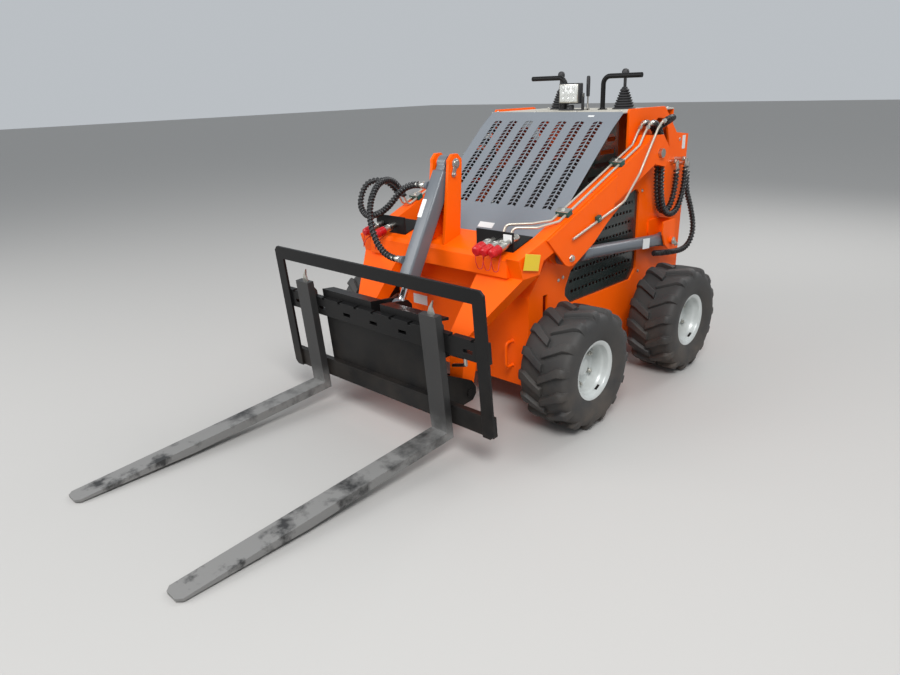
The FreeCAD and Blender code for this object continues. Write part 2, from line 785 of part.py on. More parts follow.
def controls():
    base = "console_top"
    folds = int(value("boot_folds"))
    rings = []
    for number in range(folds):
        wide = f"2 * (boot_radius + (boot_neck - boot_radius) * {number} / {folds - 1})"
        foot = f"{base} + boot_height * {number} / {folds}"
        rings += [(foot, wide), (f"{foot} + boot_height * 0.6 / {folds}", f"({wide}) * 0.78")]
    boot = stacked("StickBoot", rings, "Z", 8, "stick_spread", "stick_back")
    stick = sided("Stick", "2 * stick_radius", "stick_length", "stick_spread", "stick_back", base, "Z", 6)
    knob = stacked("Knob", ((f"{base} + stick_length - knob_radius", "knob_radius"),
                            (f"{base} + stick_length", "2 * knob_radius"),
                            (f"{base} + stick_length + knob_radius", "knob_radius")), "Z", 8, "stick_spread", "stick_back")
    node("joysticks", pair("Joysticks", fuse("Joystick", [boot, stick, knob])))
    top = f"{base} + rail_rise"
    rail = tube("HandRail", routed((
        ("rail_post", "rail_front_back", base), ("rail_post", "rail_front_back", f"{top} - rail_bend"),
        ("rail_post + rail_bend * 0.3", "rail_front_back", f"{top} - rail_bend * 0.3"),
        ("rail_post + rail_bend", "rail_front_back", top),
        ("rail_end", "rail_front_back", top))), value("rail_radius"), 8)
    node("hand_rails", pair("HandRails", rail))
    head = box("LampHead", "lamp_width", "lamp_depth", "lamp_height", "lamp_side - lamp_width / 2", "lamp_back",
               f"{base} + lamp_stand")
    stand = box("LampStand", "lamp_width * 0.6", "8", "lamp_stand", "lamp_side - lamp_width * 0.3",
                "lamp_back + lamp_depth / 2", base)
    bracket = box("LampBracket", "lamp_width + 20", "12", "8", "lamp_side - lamp_width / 2 - 10",
                  "lamp_back + lamp_depth / 2", f"{base} + lamp_stand + lamp_height")
    node("work_lamp", fuse("WorkLamp", [head, stand, bracket]))
    lever = sided("LeverStem", "10", "lever_height", "lever_side", "lever_back", base, "Z", 6)
    grip = sided("LeverGrip", "18", "60", "lever_side", "lever_back", f"{base} + lever_height", "Z", 8)
    node("throttle_lever", fuse("ThrottleLever", [lever, grip]))


def nose_fittings():
    handle = tube("NoseHandle", routed((
        ("handle_side - handle_lean", "-nose_reach", "handle_bottom"),
        ("handle_side - handle_lean", "-nose_reach - handle_reach", "handle_bottom"),
        ("handle_side + handle_lean", "-nose_reach - handle_reach", "handle_bottom + handle_height"),
        ("handle_side + handle_lean", "-nose_reach", "handle_bottom + handle_height"))), value("handle_radius"), 8)
    node("nose_handles", pair("NoseHandles", handle))
    buffer_y, buffer_z = "-(nose_reach + slope_reach) / 2", "(nose_height + slope_height) / 2"
    stop = sided("Buffer", "2 * buffer_radius", "buffer_height", 0, 0, 0, "Z")
    seated = both("BufferSeated", [stop])
    aimed(seated, "buffer_side", buffer_y, buffer_z, "atan2(slope_height - nose_height; nose_reach - slope_reach)")
    node("arm_buffers", pair("ArmBuffers", seated))


# Lift arm: two arms with legs, joined by the cross member that carries the tilt tower.

# side outline of the arm's beam
ARM = (
    ("-elbow_reach", "elbow_top"),
    ("-knee_reach", "knee_top"),
    ("arm_crest_back", "arm_crest"),
    ("arm_tail_front", "arm_tail_top"),
    ("arm_tail_front + 113", "arm_tail_top - 4"),
    ("arm_tail_back", "arm_tail_top - 56"),
    ("arm_tail_back - 16", "pivot_height - pivot_boss - 18"),
    ("arm_under_back", "arm_under_height"),
    ("arm_mid_back", "arm_mid_height"),
    ("-knee_reach - 12", "knee_top - 76"),
    ("-elbow_reach + 24 + leg_depth", "elbow_bottom"),
    ("-elbow_reach + 24", "elbow_bottom"),
)
GUSSET = (
    ("-knee_reach", "knee_top - 4"),
    ("-lift_pin_reach - 30", "lift_pin_height - 30"),
    ("-lift_pin_reach + 26", "lift_pin_height - 30"),
    ("-132", "660"),
    ("5", "758"),
    ("30", "908"),
)


def lift_arms():
    inner, outer = "arm_spread / 2 - arm_width / 2", "arm_spread / 2 + arm_width / 2"
    beam = prism("ArmBeam", "YZ", ARM, inner, "arm_width")
    pocket = box("TailPocket", "arm_width - 2 * arm_wall", "arm_tail_back - arm_tail_front - 3 * arm_wall",
                 "arm_tail_top - pocket_floor + 10", f"{inner} + arm_wall", "arm_tail_front + 2 * arm_wall",
                 "pocket_floor")
    outlet = box("TailOutlet", "arm_width - 2 * arm_wall", "hose_outlet", "pocket_floor - arm_under_height + 60",
                 f"{inner} + arm_wall", "arm_tail_back - arm_wall - hose_outlet", "arm_under_height - 50")
    bushing = sided("PivotBushing", "2 * bushing_radius", "arm_width", inner, "pivot_back", "pivot_height")
    bore = cylinder("PivotBore", "pivot_radius + running", "arm_width + 2", f"{inner} - 1", "pivot_back",
                    "pivot_height")
    plate_out = prism("GussetOuter", "YZ", GUSSET, f"{outer}", "gusset_plate", bevels=(("gusset_ease", (1, 2)),))
    plate_in = prism("GussetInner", "YZ", GUSSET, inner, "gusset_plate", bevels=(("gusset_ease", (1, 2)),))
    leg = profiled("Leg", (
        ("elbow_bottom", "leg_inside", outer, "-elbow_reach + 24", "-elbow_reach + 24 + leg_depth"),
        ("leg_mid_height", "leg_inside + 8", "leg_inside + leg_mid_width", "-leg_mid_reach",
         "-leg_mid_reach + leg_depth * 0.8"),
        ("hinge_height + leg_neck", "leg_foot_inside", "leg_foot_inside + leg_foot", "-hinge_reach - leg_foot_boss + 13",
         "-hinge_reach + leg_foot_boss + 13"),
        ("hinge_height", "leg_foot_inside", "leg_foot_inside + leg_foot", "-hinge_reach - leg_foot_boss + 5",
         "-hinge_reach + leg_foot_boss - 5"),
    ))
    boss = sided("LegBoss", "2 * leg_foot_boss", "leg_foot", "leg_foot_inside", "-hinge_reach", "hinge_height")
    eye = cylinder("LegBore", "hinge_radius + running", "leg_foot + 2", "leg_foot_inside - 1", "-hinge_reach",
                   "hinge_height")
    hollow = cut("ArmHollow", beam, fuse("TailRoom", [pocket, outlet]))
    body = cut("ArmBored", fuse("ArmJoined", [hollow, bushing, plate_in, plate_out, leg, boss]),
               fuse("ArmBores", [bore, eye]))
    node("left_arm", body)
    node("right_arm", mirrored("RightArm", body))


def on_beam(y, rise="0"):
    """The height of the sloped top that the cross member shares with the arms."""
    slope = "(knee_top - elbow_top) / (elbow_reach - knee_reach)"
    return f"(elbow_top + (({y}) + elbow_reach) * {slope} + {rise})"


def cross_member():
    inner = "arm_spread / 2 - arm_width / 2"
    front, back = "-elbow_reach + beam_inset", "-knee_reach - beam_inset"
    beam = prism("CrossBeam", "YZ", (
        (front, "elbow_bottom"), (front, on_beam(front, "-12")), (f"{front} + 12", on_beam(f"{front} + 12")),
        (back, on_beam(back)), (f"{back} - 24", "elbow_bottom + 20"), (f"{front} + 70", "elbow_bottom")),
        f"-({inner})", f"2 * ({inner})")
    node("cross_member", beam)
    near, far = "-elbow_reach + 24", "-elbow_reach + 116"
    ear_points = ((near, on_beam(near)), ("-tilt_pin_reach - tilt_ear_radius", "tilt_pin_height"),
                  ("-tilt_pin_reach - tilt_ear_radius", "tilt_pin_height + tilt_ear_radius"),
                  ("-tilt_pin_reach + tilt_ear_radius", "tilt_pin_height + tilt_ear_radius"),
                  ("-tilt_pin_reach + tilt_ear_radius", "tilt_pin_height"),
                  (far, on_beam(far)))
    ear = prism("TowerEar", "YZ", ear_points, "ear_gap / 2", "ear_plate", bevels=(("tilt_ear_radius * 0.6", (2, 3)),))
    web_front, web_back = f"{far} - 14", f"{far} - 6"
    web = prism("TowerWeb", "YZ", (
        (web_front, on_beam(web_front)), (web_front, f"{on_beam(web_front)} + tower_web_height"),
        (web_back, f"{on_beam(web_front)} + tower_web_height"), (web_back, on_beam(web_back))),
        "-ear_gap / 2", "ear_gap")
    pin = sided("TiltPin", "2 * tilt_pin_radius", "ear_gap + 2 * ear_plate", "-ear_gap / 2 - ear_plate",
                "-tilt_pin_reach", "tilt_pin_height", sides="pin_sides")
    node("tilt_tower", fuse("TiltTower", [ear, mirrored("TowerEarOther", ear), web, pin]))


# each coupler's place across the machine and its cap's width
COUPLERS = ((285, 44), (322, 36), (360, 36), (-265, 36), (-340, 36))
# where the clamps of the steel tubes stand along the arm
CLAMPS = (-290, 80)


def coupler_fittings():
    """Black angle brackets on the beam with quick couplers, their caps and the arm's steel tubes."""
    stand, foot = "-bracket_stand", "-bracket_stand + bracket_depth"
    bracket = prism("CouplerBracket", "YZ", (
        (stand, on_beam(stand)), (stand, on_beam(stand, "bracket_height")),
        (f"{stand} + bracket_sheet", on_beam(stand, "bracket_height")),
        (f"{stand} + bracket_sheet", on_beam(f"{stand} + bracket_sheet", "bracket_sheet")),
        (foot, on_beam(foot, "bracket_sheet")), (foot, on_beam(foot))), "bracket_inside", "bracket_width")
    brackets, bodies, caps, necks = [bracket, mirrored("CouplerBracketOther", bracket)], [], [], []
    for number, (x, across) in enumerate(COUPLERS):
        parts = (("Body", (("-coupler_tail", "coupler_neck - 4"), ("coupler_front", "coupler_neck - 4"))),
                 ("Collar", (("coupler_collar", f"{across} * 0.86"), ("coupler_front", f"{across} * 0.86"))),
                 ("Cap", (("coupler_front", across), ("coupler_front + cap_length * 0.7", across),
                          ("coupler_front + cap_length", f"{across} * 0.8"))))
        made = {}
        for word, sections in parts:
            piece = stacked(f"Coupler{word}{number}", sections, "Z", 8)
            made[word] = piece
        for word, piece, group in (("Coupler", fuse(f"CouplerSolid{number}", [made["Body"], made["Collar"]]), bodies),
                                   ("Cap", made["Cap"], caps)):
            seated = both(f"{word}Seated{number}", [piece])
            aimed(seated, x, stand, on_beam(stand, "coupler_rise"), "90 + coupler_droop")
            group.append(seated)
        hole = sided(f"CouplerHole{number}", "coupler_neck - 4 + 2 * running", "80", 0, 0, -40, "Z", 8)
        seated = both(f"CouplerHoleSeated{number}", [hole])
        aimed(seated, x, stand, on_beam(stand, "coupler_rise"), "90 + coupler_droop")
        necks.append(seated)
    node("coupler_brackets", cut("CouplerBrackets", both("CouplerBracketPair", brackets), fuse("CouplerHoles", necks)))
    node("couplers", both("Couplers", bodies))
    node("dust_caps", both("DustCaps", caps))


def on_arm(y, rise):
    """A height over the arm's long straight top edge."""
    slope = "(arm_crest - knee_top) / (arm_crest_back + knee_reach)"
    return f"(knee_top + (({y}) + knee_reach) * {slope} + {rise})"


def arm_tubes():
    """Steel oil lines along the arms, held by clamps; the left arm has one more on its outer face."""
    lie, tail = "tube_rise", (262, 1056)
    runs = {}
    for word, x, end in (("Inner", "tube_inner", 300), ("Outer", "tube_outer", 304)):
        runs[word] = [(x, 225, on_arm(225, lie)), (x, *tail), (x, end, "tube_top"), (x, end + 14, "tube_top")]
    starts = {"Inner": [(285, -511.1, 737.4), (285, -502.4, 739.6), (288, -490, 772), (350, -412, 770), ("tube_inner", -345, on_arm(-345, lie))],
              "Outer": [(322, -511.1, 737.4), (322, -502.4, 739.6), (325, -492, 764), (385, -425, 760), ("tube_outer", -345, on_arm(-345, lie))]}
    side = "tube_side"
    left = [tube(f"LeftTube{word}", routed(starts[word] + runs[word]), value("tube_radius")) for word in runs]
    left.append(tube("LeftTubeSide", routed((
        (side, -295, 703), (side, 49, 792), (side, 75, 803), (side, 184, 900), (side, 316, 1071), (side, 347, 1096),
        (side, 385, 1103))), value("tube_radius")))
    right = []
    for word, x in (("Inner", "tube_inner"), ("Outer", "tube_outer")):
        front = [(x, -380, 812), (x, -358, on_arm(-358, lie))]
        right.append(tube(f"RightTube{word}", routed(front + runs[word]), value("tube_radius")))
    clamps = []
    for number, y in enumerate(CLAMPS):
        front, back = f"{y} - clamp_length / 2", f"{y} + clamp_length / 2"
        clamps.append(prism(f"TubeClamp{number}", "YZ", (
            (front, on_arm(front, 0)), (back, on_arm(back, 0)), (back, on_arm(back, "2 * tube_rise")),
            (front, on_arm(front, "2 * tube_rise"))), "arm_spread / 2 - arm_width / 2", "arm_width - 2"))
    single = box("SideClamp", "tube_side - arm_spread / 2 - arm_width / 2 - gusset_plate + 9", 26, 26,
                 "arm_spread / 2 + arm_width / 2 + gusset_plate", -134, 742)
    right_half = mirrored("RightTubes", fuse("RightTubesDrawn", right + clamps))
    node("arm_tubes", both("ArmTubes", [fuse("LeftTubes", left + clamps + [single]), right_half]))


def pivot_pins():
    """The pins the arms turn on, fixed in the towers."""
    pin = sided("PivotPin", "2 * pivot_radius", "pin_reach + side_plate", "chassis_width / 2 - side_plate - 12",
                "pivot_back", "pivot_height", sides="pin_sides")
    node("pivot_pins", pair("PivotPins", pin))


# Cylinders: drawn along +Z from the base pin, then turned to point at the rod's eye.

LIFT_ANGLE = "atan2(lift_base_back + lift_pin_reach; lift_pin_height - lift_base_height)"
LIFT_LENGTH = "sqrt((lift_base_back + lift_pin_reach)^2 + (lift_pin_height - lift_base_height)^2)"
TILT_ANGLE = "atan2(tilt_eye_reach - tilt_pin_reach; tilt_eye_height - tilt_pin_height)"
TILT_LENGTH = "sqrt((tilt_eye_reach - tilt_pin_reach)^2 + (tilt_pin_height - tilt_eye_height)^2)"


def lift_cylinders():
    half = "lift_eye_width / 2"
    eye = sided("LiftEye", "2 * lift_eye_radius", "lift_eye_width", f"-{half}", 0, 0)
    tube_body = sided("LiftTube", "2 * lift_barrel_radius", "lift_barrel_length - 12", 0, 0, 12, "Z", 16)
    gland = sided("LiftGland", "2 * lift_barrel_radius + 6", "30", 0, 0, "lift_barrel_length - 30", "Z", 16)
    port = box("LiftPort", "24", "lift_port_reach - lift_barrel_radius + 8", "24", "-12", "-lift_port_reach", "75")
    hole = sided("LiftHole", "2 * (lift_rod_radius + running)", "lift_barrel_length - 78", 0, 0, "79", "Z", 12)
    bore = cylinder("LiftBase", "lift_pin_radius + running", "lift_eye_width + 20", f"-{half} - 10", 0, 0)
    barrel = cut("LiftBarrel", fuse("LiftBarrelSolid", [eye, tube_body, gland, port]),
                 fuse("LiftHoles", [hole, bore]))
    head = sided("LiftRodEye", "2 * lift_eye_radius", "rod_eye_width", "-rod_eye_width / 2", 0, LIFT_LENGTH)
    shaft = sided("LiftShaft", "2 * lift_rod_radius", f"{LIFT_LENGTH} - rod_start - lift_eye_radius / 2", 0, 0,
                  "rod_start", "Z", 12)
    rod = fuse("LiftRod", [head, shaft])
    for word, thing in (("barrel", barrel), ("rod", rod)):
        set_up = both(f"Lift{word.title()}Set", [thing])
        aimed(set_up, "arm_spread / 2", "lift_base_back", "lift_base_height", LIFT_ANGLE)
        node(f"left_lift_{word}", set_up)
        node(f"right_lift_{word}", mirrored(f"Lift{word.title()}Other", set_up))
    foot, gap = "chassis_width / 2", "arm_spread / 2 - clevis_gap / 2"
    ears = []
    for number, (x, thick) in enumerate(((foot, f"{gap} - {foot}"), (f"{gap} + clevis_gap", "clevis_plate"))):
        ears.append(prism(f"ClevisEar{number}", "YZ", (
            ("lift_base_back - clevis_nose", "lift_base_height + clevis_radius"),
            ("lift_base_back - clevis_radius", "lift_base_height - clevis_radius"),
            ("lift_base_back + clevis_radius", "lift_base_height - clevis_radius"),
            ("lift_base_back + clevis_radius", "lift_base_height + clevis_height"),
            ("lift_base_back - clevis_nose", "lift_base_height + clevis_height")), x, thick,
            bevels=(("clevis_radius * 0.6", (1, 2)),)))
    bridge = box("ClevisBridge", f"{gap} + clevis_gap - {foot}", "clevis_plate", "clevis_height", foot,
                 "lift_base_back + clevis_radius - clevis_plate", "lift_base_height")
    pin = sided("ClevisPin", "2 * lift_pin_radius", f"{gap} + clevis_gap + clevis_plate + 14 - {foot}", foot,
                "lift_base_back", "lift_base_height", sides="pin_sides")
    node("lift_clevises", pair("LiftClevises", fuse("LiftClevis", ears + [bridge, pin])))


# places of the tilt cylinder's ports, y and z
TILT_PORTS = ((-575, 905), (-728, 637))


def tilt_cylinder():
    half = "tilt_eye_width / 2"
    eye = sided("TiltEye", "2 * tilt_eye_radius", "tilt_eye_width", f"-{half}", 0, 0)
    case = box("TiltCase", "tilt_barrel_width", "tilt_barrel_width", "tilt_barrel_length - 20",
               "-tilt_barrel_width / 2", "-tilt_barrel_width / 2", 20)
    hole = sided("TiltHole", "2 * (tilt_rod_radius + running)", "tilt_barrel_length", 0, 0, "79", "Z", 12)
    bore = cylinder("TiltBase", "tilt_pin_radius + running", "tilt_barrel_width + 20", "-tilt_barrel_width / 2 - 10",
                    0, 0)
    barrel = cut("TiltBarrel", fuse("TiltBarrelSolid", [eye, case]), fuse("TiltHoles", [hole, bore]))
    head = sided("TiltRodEye", "2 * tilt_eye_radius", "tilt_eye_width", f"-{half}", 0, TILT_LENGTH)
    shaft = sided("TiltShaft", "2 * tilt_rod_radius", f"{TILT_LENGTH} - rod_start - tilt_eye_radius / 2", 0, 0,
                  "rod_start", "Z", 12)
    rod = fuse("TiltRod", [head, shaft])
    for word, thing in (("barrel", barrel), ("rod", rod)):
        set_up = both(f"Tilt{word.title()}Set", [thing])
        aimed(set_up, 0, "-tilt_pin_reach", "tilt_pin_height", TILT_ANGLE)
        node(f"tilt_{word}", set_up)
    ports = []
    for number, (y, z) in enumerate(TILT_PORTS):
        port = stacked(f"TiltPort{number}", (
            ("-tilt_barrel_width / 2 - 46", "18"), ("-tilt_barrel_width / 2 - 28", "18"),
            ("-tilt_barrel_width / 2 - 26", "32"), ("-tilt_barrel_width / 2", "32")), "X", 8)
        ports.append(place(both(f"TiltPortSet{number}", [port]), 0, y, z))
    node("tilt_ports", both("TiltPorts", ports))


# Carriage: drawn upright about the forks' heel, then leant forward as it stands.

def leant(name, thing):
    set_up = both(name, [thing])
    return aimed(set_up, 0, "-heel_reach", "heel_height", "fork_lean")


# elbows on each side plate for the hoses' far ends: how far out, then y and z
ELBOWS = ((404, 622, 905), (426, 665, 915), (414, 710, 890))
# each hose's node, side and bends, drawn for the left side and turned over by the sign
TAIL_INNER = ((392, 315, 1094), (399, 441, 1094), (401, 441, 690), (404, 622, 690), (404, 622, 872.6))
TAIL_OUTER = ((426, 319, 1094), (421, 441, 1094), (423, 441, 675), (426, 665, 675), (426, 665, 882.4))
LIFT_BASE = ((410, 439, 506), (411, 600, 480), (424, 752, 476), (430, 803, 560), (424, 752, 690), (414, 710, 770),
             (414, 710, 857.6))
HOSES = (
    ("left_tail_hose_inner", 1, TAIL_INNER),
    ("right_tail_hose_inner", -1, TAIL_INNER),
    ("left_tail_hose_outer", 1, TAIL_OUTER),
    ("right_tail_hose_outer", -1, TAIL_OUTER),
    ("left_lift_hose", 1, LIFT_BASE),
    ("right_lift_hose", -1, LIFT_BASE),
    ("left_side_hose", 1, ((457, 385.5, 1103.1), (457, 480, 1120.5), (380, 520, 1078), (205, 540, 985),
                           (205, 540, 900.3))),
    ("tilt_hose_upper", -1, ((77.6, -575, 905), (165, -575, 905), (255, -598, 800), (345, -600, 760), (440, -575, 750),
                             (495, -555, 800), (485, -510, 893), (426, -416, 880.6), (426, -380.3, 812.5))),
    ("tilt_hose_lower", -1, ((77.6, -728, 637), (165, -728, 637), (270, -700, 790), (335, -580, 905),
                             (392, -422.4, 892), (392, -380.3, 812.5))),
)


def hoses():
    """Flexible hoses, each from its fitting to the next, with the elbows that hold their far ends."""
    elbows = []
    for number, (x, y, z) in enumerate(ELBOWS):
        elbows.append(tube(f"Elbow{number}", routed((
            ("chassis_width / 2", y, z), (x, y, z), (x, y, z - 32))), value("elbow_radius")))
    node("hose_elbows", pair("HoseElbows", both("ElbowGroup", elbows)))
    for label, sign, route in HOSES:
        points = [FreeCAD.Vector(sign * x, y, z) for x, y, z in route]
        path, radii = rounded_route(points)
        length = sum(before.distanceToPoint(after) for before, after in zip(path, path[1:]))
        thing = tube(label.title().replace("_", ""), path, value("hose_radius"))
        print(label, "radii", radii, "length", round(length), "volume", round(thing.Shape.Volume),
              "section by length", round(length * value("hose_radius") ** 2 * 1.5 * math.sqrt(3)))
        node(label, thing)


def attach_plate():
    face = "guard_plate + carriage_bar_depth"
    back = f"{face} + plate_sheet"
    plate = prism("AttachSheet", "YZ", (
        (face, "plate_bottom"), (back, "plate_bottom"), (back, "plate_top - plate_sheet"),
        (f"{back} + plate_lip", "plate_top - plate_sheet - 10"), (f"{back} + plate_lip", "plate_top - 10"),
        (face, "plate_top")), "-plate_width / 2", "plate_width")
    lean = "fork_lean"
    hinge_y = f"(heel_reach - hinge_reach) * cos({lean}) + (hinge_height - heel_height) * sin({lean})"
    hinge_z = f"(hinge_height - heel_height) * cos({lean}) - (heel_reach - hinge_reach) * sin({lean})"
    eye_y = f"(heel_reach - tilt_eye_reach) * cos({lean}) + (tilt_eye_height - heel_height) * sin({lean})"
    eye_z = f"(tilt_eye_height - heel_height) * cos({lean}) - (heel_reach - tilt_eye_reach) * sin({lean})"
    ears = []
    for number, x in enumerate(("leg_foot_inside - 2 - ear_thick", "leg_foot_inside + leg_foot + 2")):
        ears.append(prism(f"HingeEar{number}", "YZ", (
            (back, f"{hinge_z} - 34"), (f"{hinge_y} + 34", f"{hinge_z} - 34"), (f"{hinge_y} + 34", f"{hinge_z} + 34"),
            (back, f"{hinge_z} + 120")), x, "ear_thick", bevels=(("20", (1, 2)),)))
    pin = sided("HingePin", "2 * hinge_radius", "leg_foot + 2 * (ear_thick + 2) + 12",
                "leg_foot_inside - 2 - ear_thick - 6", hinge_y, hinge_z, sides="pin_sides")
    side = fuse("HingeEars", ears + [pin])
    cheek = prism("TiltCheek", "YZ", (
        (back, f"{eye_z} - 80"), (f"{eye_y} + 30", f"{eye_z} - 26"), (f"{eye_y} + 30", f"{eye_z} + 26"),
        (back, f"{eye_z} + 50")), "tilt_eye_width / 2 + 4", "ear_thick", bevels=(("18", (1, 2)),))
    lug = box("LatchLug", "14", "latch_reach + 16", "32", "latch_side - 14", f"{back} - 1", "latch_height - 16")
    # the lip is open between the cheeks, where the rod leans over it
    notch = box("LipNotch", "tilt_eye_width + 8", "plate_sheet + plate_lip + 2", "plate_sheet + 40",
                "-tilt_eye_width / 2 - 4", f"{face} - 1", "plate_top - plate_sheet - 39")
    node("attach_plate", leant("AttachPlate", cut("AttachNotched", fuse("AttachSolid", [
        plate, side, mirrored("HingeOther", side), cheek, mirrored("TiltCheekOther", cheek), lug]), notch)))
    lever = tube("LatchLever", routed((
        ("latch_side + 0.4", f"{back} + latch_reach", "latch_height"),
        ("latch_side + 84", f"{back} + latch_reach", "latch_height"),
        ("latch_side + 84", f"{back} + latch_reach", "latch_height - 26"),
        ("latch_side + 20", f"{back} + latch_reach", "latch_height - 44"))), value("latch_radius"))
    node("latch_lever", leant("LatchLeverSet", lever))


def fork_frame():
    bars = [box(f"CarriageBar{n}", "guard_width - 2 * guard_plate", "carriage_bar_depth", "carriage_bar_height",
                "-guard_width / 2 + guard_plate", "guard_plate", z)
            for n, z in enumerate(("guard_bottom", "carriage_top - carriage_bar_height"))]
    outer = prism("GuardOuter", "XZ", (("-guard_width / 2", "guard_bottom"), ("guard_width / 2", "guard_bottom"),
                                       ("guard_width / 2", "guard_top"), ("-guard_width / 2", "guard_top")),
                  "guard_plate", "guard_plate", bevels=(("guard_ease", (0, 1, 2, 3)),))
    inner = box("GuardRoom", "guard_width - 2 * guard_bar", "guard_plate + 2", "guard_top - guard_bottom - guard_bar + 1",
                "-guard_width / 2 + guard_bar", "-1", "guard_bottom - 1")
    openings = [box(f"CarriageNotch{step + 5}", "notch_width", "carriage_bar_depth + 2", "notch_depth + 1",
                    f"{step} * notch_pitch - notch_width / 2", "guard_plate - 1", "carriage_top - notch_depth")
                for step in range(-5, 6)]
    openings += [box(f"CarriageSlot{step + 3}", "3 * notch_width", "carriage_bar_depth + 2", "notch_width",
                     f"{step} * slot_pitch - 1.5 * notch_width", "guard_plate - 1", "carriage_top - slot_drop")
                 for step in range(-3, 4)]
    frame = fuse("ForkFrameSolid", [cut("CarriageBars", fuse("CarriageBarPair", bars),
                                        fuse("CarriageOpenings", openings)), cut("Guard", outer, inner)])
    node("fork_frame", leant("ForkFrame", frame))


def forks():
    """Forks with a tapered tine, cut corners at its tip and a hook that sits on the carriage's bar."""
    side = (("guard_plate", "-fork_thickness"), ("guard_plate", "fork_height"),
            ("guard_plate - fork_thickness + 2", "fork_height"), ("guard_plate - fork_thickness + 2", "0"),
            ("-fork_length", "0"), ("-fork_length", "-fork_tip"), ("-fork_length + fork_taper", "-fork_thickness"))
    latches = []
    for word, middle in (("left", "fork_spread / 2 - fork_shift"), ("right", "-fork_spread / 2 - fork_shift")):
        blade = prism(f"Fork{word.title()}Blade", "YZ", side, f"{middle} - fork_width / 2", "fork_width")
        corners = [prism(f"Fork{word.title()}Tip{number}", "XY", (
            (f"{middle} + ({sign}) * (fork_width / 2 + 1)", "-fork_length - 1"),
            (f"{middle} + ({sign}) * (fork_width / 2 - fork_corner)", "-fork_length - 1"),
            (f"{middle} + ({sign}) * (fork_width / 2 + 1)", "-fork_length + fork_corner")), "-fork_thickness",
            "fork_thickness + 1") for number, sign in enumerate((-1, 1))]
        hook = prism(f"Fork{word.title()}Hook", "YZ", (
            ("guard_plate", "carriage_top"), ("guard_plate + carriage_bar_depth - 1", "carriage_top"),
            ("guard_plate + carriage_bar_depth - 1", "carriage_top + 16"), ("guard_plate + 12", "carriage_top + 32"),
            ("guard_plate", "carriage_top + 32")), f"{middle} - fork_hook / 2", "fork_hook")
        shape = fuse(f"Fork{word.title()}Solid", [cut(f"Fork{word.title()}Cut", blade,
                                                      fuse(f"Fork{word.title()}Tips", corners)), hook])
        node(f"{word}_fork", leant(f"ForkSet{word.title()}", shape))
        latches.append(prism(f"ForkLatch{word.title()}", "XZ", (
            (f"{middle} - 16", "fork_height"), (f"{middle} + 16", "fork_height"), (f"{middle} + 9", "fork_height + 24"),
            (f"{middle} + 15", "fork_height + latch_rise"), (f"{middle} - 4", "fork_height + 26")), 4, 6))
    node("fork_latches", leant("ForkLatches", both("ForkLatchPair", latches)))


def main():
    wheels()
    wheel_motors()
    chassis()
    grilles()
    engine()
    hood()
    console()
    rear_cover()
    controls()
    nose_fittings()
    lift_arms()
    cross_member()
    coupler_fittings()
    arm_tubes()
    pivot_pins()
    lift_cylinders()
    tilt_cylinder()
    hoses()
    attach_plate()
    fork_frame()
    forks()
    doc.recompute()
    failed = [thing.Name for thing in doc.Objects if {"Invalid", "Error"} & set(thing.State)]
    if failed:
        raise RuntimeError(f"these did not compute: {failed}")
    os.makedirs("parts", exist_ok=True)
    for thing in nodes:
        shape = thing.Shape
        if shape.isNull() or not shape.isValid():
            raise RuntimeError(f"{thing.Label} has no valid shape")
    for thing in nodes:
        thing.Shape.exportStep(f"parts/{thing.Label}.step")
        print(thing.Label, round(thing.Shape.Volume / 1e3), "cm3", len(thing.Shape.Solids))


main()
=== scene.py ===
import math
import bmesh
import bpy
from mathutils import Matrix, Vector


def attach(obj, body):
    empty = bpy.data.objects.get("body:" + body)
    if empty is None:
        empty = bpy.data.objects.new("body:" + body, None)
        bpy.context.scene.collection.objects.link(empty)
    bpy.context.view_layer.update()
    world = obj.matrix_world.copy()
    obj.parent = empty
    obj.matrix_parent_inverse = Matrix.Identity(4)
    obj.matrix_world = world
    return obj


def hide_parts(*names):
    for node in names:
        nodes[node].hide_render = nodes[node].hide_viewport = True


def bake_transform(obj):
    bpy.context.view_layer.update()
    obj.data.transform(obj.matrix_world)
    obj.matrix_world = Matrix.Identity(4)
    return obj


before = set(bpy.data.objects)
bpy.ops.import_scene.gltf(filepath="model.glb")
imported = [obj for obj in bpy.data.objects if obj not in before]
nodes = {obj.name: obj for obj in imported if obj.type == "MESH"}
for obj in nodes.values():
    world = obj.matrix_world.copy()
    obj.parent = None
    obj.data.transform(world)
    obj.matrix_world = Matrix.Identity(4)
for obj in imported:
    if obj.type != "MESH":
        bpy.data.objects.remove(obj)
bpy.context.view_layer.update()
scene = bpy.context.scene

axleShift = 0.548611   # the frame's origin lies this far in front of the wheels' middle
arm = {"knee": (-444, 724), "rise": 0.4103, "tubeLift": 11}   # the arm's sloping top edge, and the tubes above it
up, ahead, crossways = Vector((0, 0, 1)), Vector((0, -1, 0)), Vector((1, 0, 0))
still = Matrix.Identity(4)


def metres(x, y, z):
    return Vector((x / 1000, y / 1000, z / 1000))


def spot(x, y, z):
    return Vector((x / 1000, y / 1000 + axleShift, z / 1000))   # millimetres from the wheels' middle


def moved(x, y, z):
    return Matrix.Translation(metres(x, y, z))


def at(x, y, z):
    return Matrix.Translation(spot(x, y, z))


def spun(angle, axis="Z"):
    return Matrix.Rotation(angle, 4, axis)


def facing(place, direction):
    turn = up.rotation_difference(Vector(direction).normalized()).to_matrix().to_4x4()
    return Matrix.Translation(place) @ turn


def onArm(y):
    return arm["knee"][1] + (y - arm["knee"][0]) * arm["rise"] + arm["tubeLift"]


# node trees: a node with its settings, and its sockets linked or set

